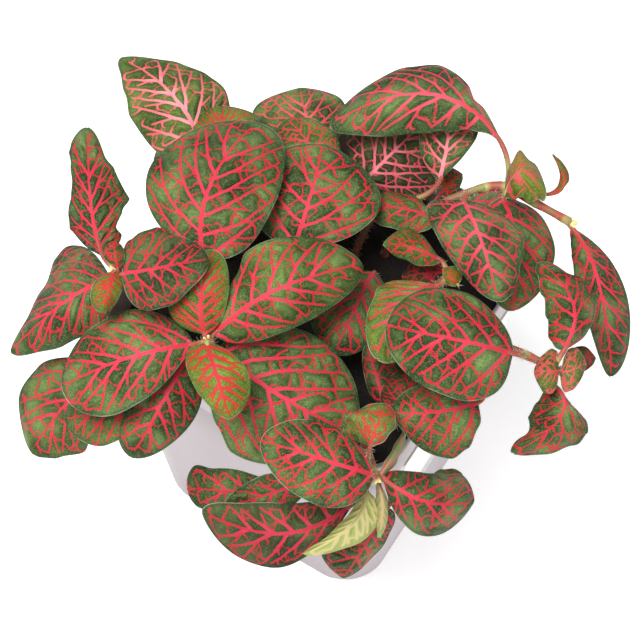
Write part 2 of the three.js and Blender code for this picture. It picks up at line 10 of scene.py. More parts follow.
import bpy
import numpy as np
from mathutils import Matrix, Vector


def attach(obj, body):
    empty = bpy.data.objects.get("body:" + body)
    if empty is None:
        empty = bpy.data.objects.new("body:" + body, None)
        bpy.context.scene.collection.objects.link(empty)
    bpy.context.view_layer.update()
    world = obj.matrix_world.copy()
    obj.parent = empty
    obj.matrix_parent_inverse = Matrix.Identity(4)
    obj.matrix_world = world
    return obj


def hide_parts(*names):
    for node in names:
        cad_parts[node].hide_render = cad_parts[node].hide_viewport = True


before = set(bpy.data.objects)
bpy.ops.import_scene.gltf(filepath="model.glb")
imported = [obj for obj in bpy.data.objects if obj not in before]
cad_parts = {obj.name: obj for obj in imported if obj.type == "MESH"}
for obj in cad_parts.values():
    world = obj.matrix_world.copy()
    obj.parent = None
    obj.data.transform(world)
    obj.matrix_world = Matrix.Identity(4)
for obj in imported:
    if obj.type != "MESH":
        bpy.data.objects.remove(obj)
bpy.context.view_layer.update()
MM = 0.001

# %% [markdown]
# ## The camera
# The plant was seen from high above its front, through a long lens. A camera is an object
# with a place, a turn and a lens, so it is added with those three. The leaves were placed
# in this same view: a picture point and a height give one place in space.

# %% Camera
VIEW_ELEVATION = math.radians(59.6)
VIEW_DISTANCE = 612 * MM
VIEW_AIM = 93.3 * MM
VIEW_FOCAL = 1814.8
VIEW_SIDE = 640

forward = Vector((0, math.cos(VIEW_ELEVATION), -math.sin(VIEW_ELEVATION)))
upward = Vector((0, math.sin(VIEW_ELEVATION), math.cos(VIEW_ELEVATION)))
eye = Vector((0, 0, VIEW_AIM)) - forward * VIEW_DISTANCE

bpy.ops.object.camera_add(location=eye, rotation=(math.pi / 2 - VIEW_ELEVATION, 0, 0))
camera = bpy.context.object
camera.data.sensor_width = 36
camera.data.lens = 36 * VIEW_FOCAL / VIEW_SIDE
camera.data.clip_start = 0.01
bpy.context.scene.camera = camera
print("camera at", [round(c, 4) for c in eye], "lens", round(camera.data.lens, 1))

# %% [markdown]
# ## Colours
# A picture's colours are written for a screen, and Blender's shaders want them linear, so
# one small helper turns a screen colour of 0 to 255 into a shader colour.


# %% Screen colours made linear
def paint(red, green, blue):
    def linear(c):
        c /= 255
        return c / 12.92 if c <= 0.04045 else ((c + 0.055) / 1.055) ** 2.4

    return (linear(red), linear(green), linear(blue), 1.0)


bpy.context.scene.view_settings.view_transform = "Standard"
print("white is", paint(255, 255, 255))

# %% [markdown]
# ## Shader maths
# Patterns such as veins are sums of simple numbers. Wiring each Math node by hand is slow
# to read, so a small class wraps a socket and lets Python's own signs add the nodes.


# %% A socket that can be used like a number
class Wire:
    def __init__(self, tree, socket):
        self.tree = tree
        self.socket = socket

    def maths(self, operation, *values):
        return node(self.tree, "ShaderNodeMath", dict(operation=operation), values)

    def __add__(self, other):
        return self.maths("ADD", self, other)

    def __radd__(self, other):
        return self.maths("ADD", other, self)

    def __sub__(self, other):
        return self.maths("SUBTRACT", self, other)

    def __rsub__(self, other):
        return self.maths("SUBTRACT", other, self)

    def __mul__(self, other):
        return self.maths("MULTIPLY", self, other)

    def __rmul__(self, other):
        return self.maths("MULTIPLY", other, self)

    def ramp(self, low, high):
        """0 below low, 1 above high and smooth between them."""
        settings = dict(interpolation_type="SMOOTHSTEP")
        return node(self.tree, "ShaderNodeMapRange", settings, [self, low, high])


print("sockets can be added, subtracted and multiplied")

# %% [markdown]
# Every node is added by one helper. Others build on it: they blend two colours, read a
# number that is stored on the points, make cloudy noise or a bump, and set up a finish.


# %% Nodes, noise, bumps and finishes
def node(tree, kind, settings=None, inputs=(), output=0):
    """Adds one node, sets it up, fills its sockets and returns one of its outputs."""
    made = tree.nodes.new(kind)
    for name, value in (settings or {}).items():
        setattr(made, name, value)
    pairs = inputs.items() if isinstance(inputs, dict) else enumerate(inputs)
    for key, value in pairs:
        if isinstance(value, Wire):
            tree.links.new(value.socket, made.inputs[key])
        else:
            made.inputs[key].default_value = value
    return Wire(tree, made.outputs[output])


def blend(tree, factor, first, second):
    """Mixes two colours: all of the first at 0 and all of the second at 1."""
    inputs = {0: factor, 6: first, 7: second}
    return node(tree, "ShaderNodeMix", dict(data_type="RGBA"), inputs, output=2)


def attribute(tree, name):
    return node(tree, "ShaderNodeAttribute", dict(attribute_name=name), output="Fac")


def speckle(tree, size, detail=2.0, roughness=0.5, stretch=(1, 1, 1)):
    """Cloudy noise from 0 to 1 whose blotches are about this long, in metres."""
    place = node(tree, "ShaderNodeTexCoord", output="Object")
    if stretch != (1, 1, 1):
        place = node(tree, "ShaderNodeMapping", None, {"Vector": place, "Scale": stretch})
    inputs = {"Vector": place, "Scale": 1 / size, "Detail": detail, "Roughness": roughness}
    return node(tree, "ShaderNodeTexNoise", None, inputs)


def finish_of(name, build, **constants):
    """A material whose surface sockets are set by build and by plain constants."""
    material = bpy.data.materials.new(name)
    material.use_nodes = True
    tree = material.node_tree
    surface = tree.nodes["Principled BSDF"]
    for socket, value in constants.items():
        surface.inputs[socket.replace("_", " ")].default_value = value
    for socket, value in build(tree).items():
        if isinstance(value, Wire):
            tree.links.new(value.socket, surface.inputs[socket])
        else:
            surface.inputs[socket].default_value = value
    return material


def relief(tree, height, distance):
    """A bump in which a height of 1 stands out by the distance, in metres."""
    return node(tree, "ShaderNodeBump", None, {"Height": height, "Distance": distance})


print("shader helpers are ready")

# %% [markdown]
# ## The stage
# A plain pale floor and soft light, as in a photographer's tent. A large lamp overhead
# gives the soft shade under the leaves, and a weaker one low in front lights what faces
# forward. An even world fills the rest. The floor is a plane that glows a little, so that
# it looks white, and it isn't part of the object.

# %% Floor and light
WORLD_LIGHT = 0.4
FLOOR_SIDE = 4.0
FLOOR_GLOW = 0.42

bpy.ops.mesh.primitive_plane_add(size=FLOOR_SIDE, location=(0, 0, 0))
floor = bpy.context.object
floor.name = "floor"
floor_white = finish_of(
    "floor_white",
    lambda tree: {"Base Color": paint(250, 250, 250), "Emission Color": paint(255, 255, 255)},
    Roughness=0.9,
    Emission_Strength=FLOOR_GLOW,
)
floor.data.materials.append(floor_white)


def soft_lamp(name, place, aim, size, power):
    bpy.ops.object.light_add(type="AREA", location=place)
    lamp = bpy.context.object
    lamp.name = name
    lamp.data.size = size
    lamp.data.energy = power
    turn = (Vector(aim) - Vector(place)).to_track_quat("-Z", "Y")
    lamp.rotation_euler = turn.to_euler()


soft_lamp("lamp_key", place=(-0.3, -0.2, 1.15), aim=(0, 0, 0.12), size=0.6, power=16)
soft_lamp("lamp_front", place=(0.5, -0.9, 0.7), aim=(0, 0, 0.1), size=0.8, power=3.5)

world = bpy.data.worlds.new("studio")
world.use_nodes = True
sky = world.node_tree.nodes["Background"].inputs
sky["Color"].default_value = (1, 1, 1, 1)
sky["Strength"].default_value = WORLD_LIGHT
bpy.context.scene.world = world
print("stage is set")

# %% [markdown]
# ## Common steps
# Everything selected is changed by the next operator, so every piece starts with nothing
# selected. A finished piece rides on the body "root" and may stand for a CAD node, which is
# then hidden.


# %% Selecting, edit mode and handing a piece over
def alone(piece=None):
    bpy.ops.object.select_all(action="DESELECT")
    if piece:
        piece.select_set(True)
        bpy.context.view_layer.objects.active = piece


def hand_over(piece, slot, *nodes):
    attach(piece, "root")
    if nodes:
        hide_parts(*nodes)
    triangles = sum(len(face.vertices) - 2 for face in piece.data.polygons)
    print(piece.name, triangles, "triangles")


def new_mesh(name, points, faces, smooth=True):
    """An object at the origin from points in metres and faces of point numbers."""
    mesh = bpy.data.meshes.new(name)
    mesh.from_pydata([tuple(p) for p in points], [], faces)
    mesh.polygons.foreach_set("use_smooth", [smooth] * len(mesh.polygons))
    piece = bpy.data.objects.new(name, mesh)
    bpy.context.scene.collection.objects.link(piece)
    return piece


def join_copies(name, copies, smooth=True):
    """One mesh from many pairs of points and faces."""
    points, faces = [], []
    for some_points, some_faces in copies:
        start = len(points)
        points += [tuple(p) for p in some_points]
        faces += [[i + start for i in face] for face in some_faces]
    return new_mesh(name, points, faces, smooth)


def add_number(piece, name, values):
    """Stores one number on every point of a piece, for its shader to read."""
    layer = piece.data.attributes.new(name, "FLOAT", "POINT")
    layer.data.foreach_set("value", values.astype(np.float32))


print("steps for the pieces are ready")

# %% [markdown]
# ## The pot
# The real pot is one moulding of pale plastic: a square tub with round corners that
# widens upwards, a collar that stands out around the rim, and a small notch at the foot
# of each corner. By hand it starts as a plane whose corners are bevelled. The outline is
# then extruded ring by ring: up the outside, over the lip and down the inside. The walls
# and the collar have the CAD's half sides and heights, and every new ring is moved to its
# place by the same rule. The rings between them round the edges.

# %% Pot sizes
POT_TURN = math.radians(-31.9)
POT_HEIGHT = 121 * MM
RIM_HALF = 55 * MM
BASE_HALF = 45 * MM
COLLAR_BOTTOM = 106 * MM
COLLAR_STEP = 1.4 * MM
COLLAR_FLARE = 0.8 * MM
WALL = 1.4 * MM
WALL_INSIDE_TOP = 103 * MM
FLOOR_TOP = 4 * MM
FOOT_HEIGHT = 2 * MM
FOOT_WIDTH = 4 * MM
NOTCH_LENGTH = 12 * MM
PAD_RADIUS = 13 * MM
DRAIN_RADIUS = 4 * MM
DRAIN_CIRCLE = 27 * MM
BASE_CORNER = 15.8 * MM
RIM_CORNER = 17 * MM
CORNER_STEPS = 14
TOOL_SIDES = 32
SHARP_ANGLE = math.radians(32)


def as_pot(x, y):
    """A level place turned as the pot stands."""
    cosine, sine = math.cos(POT_TURN), math.sin(POT_TURN)
    return x * cosine - y * sine, x * sine + y * cosine


def wall_half(z):
    """Half the outer side of the wall at a height below the collar."""
    top = RIM_HALF - COLLAR_STEP - COLLAR_FLARE
    return BASE_HALF + (top - BASE_HALF) * z / COLLAR_BOTTOM


def corner_at(z):
    """The radius of the outside corners at a height."""
    return BASE_CORNER + (RIM_CORNER - BASE_CORNER) * z / POT_HEIGHT


def square_ring(half, corner, z, steps=CORNER_STEPS):
    """The points of a level square with round corners, turned as the pot stands."""
    ring = []
    for side in range(4):
        heading = POT_TURN + side * math.pi / 2
        reach = (half - corner) * math.sqrt(2)
        middle = (
            reach * math.cos(heading + math.pi / 4),
            reach * math.sin(heading + math.pi / 4),
        )
        for step in range(steps + 1):
            angle = heading + step / steps * math.pi / 2
            x = middle[0] + corner * math.cos(angle)
            y = middle[1] + corner * math.sin(angle)
            ring.append((x, y, z))
    return ring


print("the collar's half side is", round(RIM_HALF / MM, 1), "mm")

# %% Extrude the pot ring by ring
# Each ring's half side in metres, then in millimetres how much smaller its corner radius
# is than the outside wall's, and its height.
POT_RINGS = [
    (wall_half(0) - 1.0 * MM, 0.6, 0.0),
    (wall_half(0.5 * MM) - 0.35 * MM, 0.2, 0.4),
    (wall_half(1.2 * MM), 0, 1.2),
    (wall_half(40 * MM), 0, 40),
    (wall_half(75 * MM), 0, 75),
    (wall_half(104.6 * MM), 0, 104.6),
    (wall_half(105.3 * MM) - 0.35 * MM, 0.3, 105.3),
    (wall_half(105.3 * MM) - 0.35 * MM, 0.3, 105.9),
    (RIM_HALF - 1.3 * MM, 0, 106.0),
    (RIM_HALF - 0.85 * MM, 0, 106.3),
    (RIM_HALF - 0.75 * MM, 0, 107.0),
    (RIM_HALF - 0.05 * MM, 0, 119.8),
    (RIM_HALF - 0.1 * MM, 0, 120.4),
    (RIM_HALF - 0.4 * MM, 0.3, 120.85),
    (RIM_HALF - 0.75 * MM, 0.7, 121.0),
    (RIM_HALF - 1.15 * MM, 1.1, 120.85),
    (RIM_HALF - 1.45 * MM, 1.4, 120.4),
    (RIM_HALF - 1.5 * MM, 1.4, 119.8),
    (RIM_HALF - 2.3 * MM, 1.4, 107.0),
    (wall_half(WALL_INSIDE_TOP) - WALL, 1.4, WALL_INSIDE_TOP / MM),
    (wall_half(60 * MM) - WALL, 1.4, 60.0),
    (wall_half(FLOOR_TOP) - WALL, 1.4, 5.0),
    (wall_half(FLOOR_TOP) - WALL - 0.8 * MM, 2.0, 4.0),
]

alone()
bpy.ops.mesh.primitive_plane_add(size=2 * BASE_HALF, location=(0, 0, 0))
pot = bpy.context.object
pot.name = "pot_shell"
bpy.ops.object.mode_set(mode="EDIT")
bpy.ops.mesh.bevel(
    offset=BASE_CORNER, offset_type="OFFSET", segments=CORNER_STEPS, affect="VERTICES"
)
bpy.ops.mesh.flip_normals()
bpy.ops.object.mode_set(mode="OBJECT")
RING = len(pot.data.vertices)
ANGLE_SLACK = 0.01


def order_of(mesh, numbers):
    """Ring points by their angle about the pot's middle, from the first of square_ring.

    The slack keeps a first point that lies a hair before its angle from being the last."""
    first = math.atan2(*reversed(square_ring(BASE_HALF, BASE_CORNER, 0)[0][:2]))

    def angle(i):
        x, y = mesh.vertices[i].co.xy
        return (math.atan2(y, x) - first + ANGLE_SLACK) % (2 * math.pi)

    return sorted(numbers, key=angle)


def place_ring(mesh, numbers, half, inset, height):
    ring = square_ring(half, corner_at(height * MM) - inset * MM, height * MM)
    for i, point in zip(numbers, ring):
        mesh.vertices[i].co = point


for vertex in pot.data.vertices:
    vertex.co.xy = as_pot(*vertex.co.xy)
numbers = order_of(pot.data, range(RING))
place_ring(pot.data, numbers, *POT_RINGS[0])
for half, inset, height in POT_RINGS[1:]:
    bpy.ops.object.mode_set(mode="EDIT")
    bpy.ops.mesh.extrude_region_move(TRANSFORM_OT_translate={"value": (0, 0, 0)})
    bpy.ops.object.mode_set(mode="OBJECT")
    numbers = [v.index for v in pot.data.vertices if v.select]
    numbers = order_of(pot.data, numbers)
    place_ring(pot.data, numbers, half, inset, height)
print("pot rings:", len(POT_RINGS), "points:", len(pot.data.vertices))

# %% [markdown]
# The pot stands on the lower edge of its walls: the underside is cut back inside them, each
# corner is notched so that water runs out, and a round pad stands in the middle. Four
# drain holes go through the floor. Cutting and joining are Boolean modifiers here: each
# is applied, and its cutter is deleted. The underside and its notches are cut by one block,
# because cutters whose faces lie in one plane can leave a different mesh on each run.


# %% Cut the underside, the notches and the drain holes, add the pad
def apply_boolean(piece, tool, operation):
    alone(piece)
    modifier = piece.modifiers.new("cut", "BOOLEAN")
    modifier.operation = operation
    modifier.object = tool
    bpy.ops.object.modifier_apply(modifier=modifier.name)
    bpy.data.objects.remove(tool)


def block_tool(outline, low, high):
    """A straight block over an outline that runs counter-clockwise."""
    count = len(outline)
    points = [(x, y, z) for z in (low, high) for x, y in outline]
    faces = [list(range(count))[::-1], list(range(count, 2 * count))]
    for i in range(count):
        j = (i + 1) % count
        faces.append([i, j, j + count, i + count])
    return new_mesh("block", points, faces)


def round_tool(radius, x, y, low, high):
    middle = (x, y, (low + high) / 2)
    bpy.ops.mesh.primitive_cylinder_add(
        radius=radius, depth=high - low, vertices=TOOL_SIDES, location=middle
    )
    tool = bpy.context.object
    bpy.ops.object.transform_apply(location=True, rotation=True, scale=True)
    return tool


alone(pot)
bpy.ops.object.mode_set(mode="EDIT")
bpy.ops.mesh.select_all(action="SELECT")
bpy.ops.mesh.normals_make_consistent(inside=False)
bpy.ops.object.mode_set(mode="OBJECT")

near, far = BASE_HALF - NOTCH_LENGTH, BASE_HALF + NOTCH_LENGTH
inside = BASE_HALF - FOOT_WIDTH
corner = [(inside, near), (far, near), (far, far), (near, far), (near, inside)]
underside, drains = [], []
for drain in ((DRAIN_CIRCLE, 0), (0, DRAIN_CIRCLE), (-DRAIN_CIRCLE, 0), (0, -DRAIN_CIRCLE)):
    underside += [as_pot(x, y) for x, y in corner]
    drains.append(as_pot(*drain))
    corner = [(-y, x) for x, y in corner]
apply_boolean(pot, block_tool(underside, -MM, FOOT_HEIGHT), "DIFFERENCE")
apply_boolean(pot, round_tool(PAD_RADIUS, 0, 0, 0, FOOT_HEIGHT + MM), "UNION")
for x, y in drains:
    apply_boolean(pot, round_tool(DRAIN_RADIUS, x, y, -MM, FLOOR_TOP + MM), "DIFFERENCE")

alone(pot)
bpy.ops.object.shade_smooth_by_angle(angle=SHARP_ANGLE)
print("pot points after the cuts:", len(pot.data.vertices))

# %% [markdown]
# The plastic is a pale grey-pink with a soft gloss. Moulded plastic is never one even
# tone: broad, faint clouds and fine scuffs keep it from looking like a painted block.


# %% Pot plastic
def pot_plastic(tree):
    cloud = speckle(tree, 60 * MM, 3).ramp(0.35, 0.7)
    scuff = speckle(tree, 1.4 * MM, 5, 0.7, (1, 1, 0.25)).ramp(0.52, 0.8)
    colour = blend(tree, cloud, paint(167, 155, 160), paint(176, 164, 169))
    colour = blend(tree, scuff * 0.35, colour, paint(166, 157, 163))
    height = speckle(tree, 0.5 * MM, 2)
    return {
        "Base Color": colour,
        "Roughness": 0.34 + 0.16 * scuff,
        "Normal": relief(tree, height, 0.02 * MM),
    }


pot.data.materials.append(finish_of("pot_plastic", pot_plastic))
hand_over(pot, "pot_plastic", "pot")

# %% [markdown]
# ## The label
# A bare white sticker lies on the right-hand front face, just under the collar. By hand
# it is a box as thin as paper whose four corner edges are bevelled. It is leaned to the
# wall, moved out to it and then turned with the pot.

# %% Label
LABEL_LENGTH = 72 * MM
LABEL_HEIGHT = 49.5 * MM
LABEL_THICKNESS = 0.3 * MM
LABEL_GAP = 0.15 * MM
LABEL_TOP = 103.5 * MM
LABEL_CORNER = 1.5 * MM
LABEL_CORNER_STEPS = 5

label_middle = LABEL_TOP - LABEL_HEIGHT / 2
label_flare = wall_half(LABEL_TOP) - wall_half(LABEL_TOP - LABEL_HEIGHT)
label_lean = math.atan2(label_flare, LABEL_HEIGHT)
alone()
bpy.ops.mesh.primitive_cube_add(size=1, location=(0, 0, 0))
label = bpy.context.object
label.name = "label_sheet"
label.scale = (LABEL_THICKNESS, LABEL_LENGTH, LABEL_HEIGHT)
bpy.ops.object.transform_apply(location=True, rotation=True, scale=True)
bpy.ops.object.mode_set(mode="EDIT")
bpy.ops.mesh.select_all(action="DESELECT")
bpy.ops.object.mode_set(mode="OBJECT")
for edge in label.data.edges:
    a, b = (label.data.vertices[i].co for i in edge.vertices)
    edge.select = abs(a.x - b.x) > LABEL_THICKNESS / 2
bpy.ops.object.mode_set(mode="EDIT")
bpy.ops.mesh.bevel(offset=LABEL_CORNER, segments=LABEL_CORNER_STEPS, affect="EDGES")
bpy.ops.object.mode_set(mode="OBJECT")
label.rotation_euler = (0, label_lean, 0)
label_reach = wall_half(label_middle) + LABEL_GAP + LABEL_THICKNESS / 2
label.location = (label_reach, 0, label_middle)
bpy.ops.object.transform_apply(location=True, rotation=True, scale=True)
label.rotation_euler = (0, 0, POT_TURN)
bpy.ops.object.transform_apply(location=True, rotation=True, scale=True)


def label_paper(tree):
    fibre = speckle(tree, 0.8 * MM, 4)
    colour = blend(tree, fibre.ramp(0.4, 0.8), paint(244, 244, 242), paint(232, 232, 230))
    return {"Base Color": colour, "Roughness": 0.5 + 0.1 * fibre}


label.data.materials.append(finish_of("label_paper", label_paper))
hand_over(label, "label_paper", "label")

# %% [markdown]
# ## The soil
# Potting soil is dark peat: a low, uneven mound of crumbs. The body is a stack of square
# rings like the pot's inside, and its top is a close mesh of rings that noise lifts and
# sinks. Loose crumbs are small stones of a few faces each, half sunk into the mound. None
# of them lies where a stem goes in, so they are made when the stems' places are known.

# %% Soil
SOIL_TOP = 108 * MM
SOIL_GAP = 0.5 * MM
SOIL_SWELL = 2.5 * MM
SOIL_LEVELS = (FLOOR_TOP + SOIL_GAP, 50 * MM, WALL_INSIDE_TOP, SOIL_TOP)
SOIL_RINGS = 26
SOIL_CORNER_STEPS = 8
SOIL_WAVES = 14
WAVE_PITCHES = (90, 900)
WAVE_TURNS = (0, 6.3)
LUMP_HEIGHT = 0.16 * MM

soil_random = random.Random(11)
soil_waves = [
    [soil_random.uniform(*span) for span in (WAVE_PITCHES, WAVE_TURNS, WAVE_TURNS)]
    for _ in range(SOIL_WAVES)
]


def soil_height(x, y, inset):
    """The mound's top at a place: a swell in the middle and small lumps all over."""
    lumps = 0.0
    for pitch, heading, phase in soil_waves:
        lumps += math.sin(pitch * (x * math.cos(heading) + y * math.sin(heading)) + phase)
    return SOIL_TOP + SOIL_SWELL * (1 - inset) + LUMP_HEIGHT * lumps * (1 - inset**8)


def soil_edge(z):
    """The soil's outline at a height, a small gap inside the pot's wall."""
    half = wall_half(min(z, WALL_INSIDE_TOP)) - WALL - SOIL_GAP
    return square_ring(half, corner_at(z) - WALL - SOIL_GAP, z, SOIL_CORNER_STEPS)


soil_levels = [soil_edge(z) for z in SOIL_LEVELS]
outer_ring = soil_levels[-1]
for i in range(1, SOIL_RINGS):
    inset = 1 - i / SOIL_RINGS
    spots = [(x * inset, y * inset) for x, y, _ in outer_ring]
    soil_levels.append([(x, y, soil_height(x, y, inset)) for x, y in spots])
count = len(outer_ring)
soil_points = [point for level in soil_levels for point in level]
soil_faces = [list(range(count))[::-1]]
for level in range(len(soil_levels) - 1):
    for i in range(count):
        a, b = level * count + i, level * count + (i + 1) % count
        soil_faces.append([a, b, b + count, a + count])
soil_points.append((0, 0, soil_height(0, 0, 0)))
last = len(soil_points) - 1
for i in range(count):
    soil_faces.append([last - count + i, last - count + (i + 1) % count, last])
soil = new_mesh("soil_mound", soil_points, soil_faces)
print("soil faces:", len(soil_faces))

# %% [markdown]
# ## Where the leaves are
# Every leafy stem stands in its own hole, and every leaf is known by five places: the base
# of its blade, the middle of its midrib, its tip and the widest place of each edge. They
# are the CAD's own places, so that the fine leaves lie where the plain ones do. A place is
# given in millimetres, or as the picture's column and row with a height. Each leaf also
# says how young it is (yellow-green), how pink its veins are and how much painted shade
# darkens it where it lies deep under other leaves.


# %% Places and leaves
def at(x, y, z):
    return np.array([x, y, z]) * MM


def place(p):
    """A place in metres, from one in metres or from a column, a row and a height in mm."""
    if isinstance(p, np.ndarray):
        return p
    column, row, height = p
    ray = np.array(forward)
    ray = ray + np.array([1, 0, 0]) * (column - VIEW_SIDE / 2) / VIEW_FOCAL
    ray = ray + np.array(upward) * (VIEW_SIDE / 2 - row) / VIEW_FOCAL
    return np.array(eye) + ray * (height * MM - eye.z) / ray[2]


def leaf(base, mid, tip, left, right, **details):
    return dict(base=base, mid=mid, tip=tip, left=left, right=right, **details)


def leafy_stem(root, path, *leaves):
    """A leafy stem: where its root is and its path, in millimetres, and its leaves."""
    return dict(root=root, path=path, leaves=leaves)


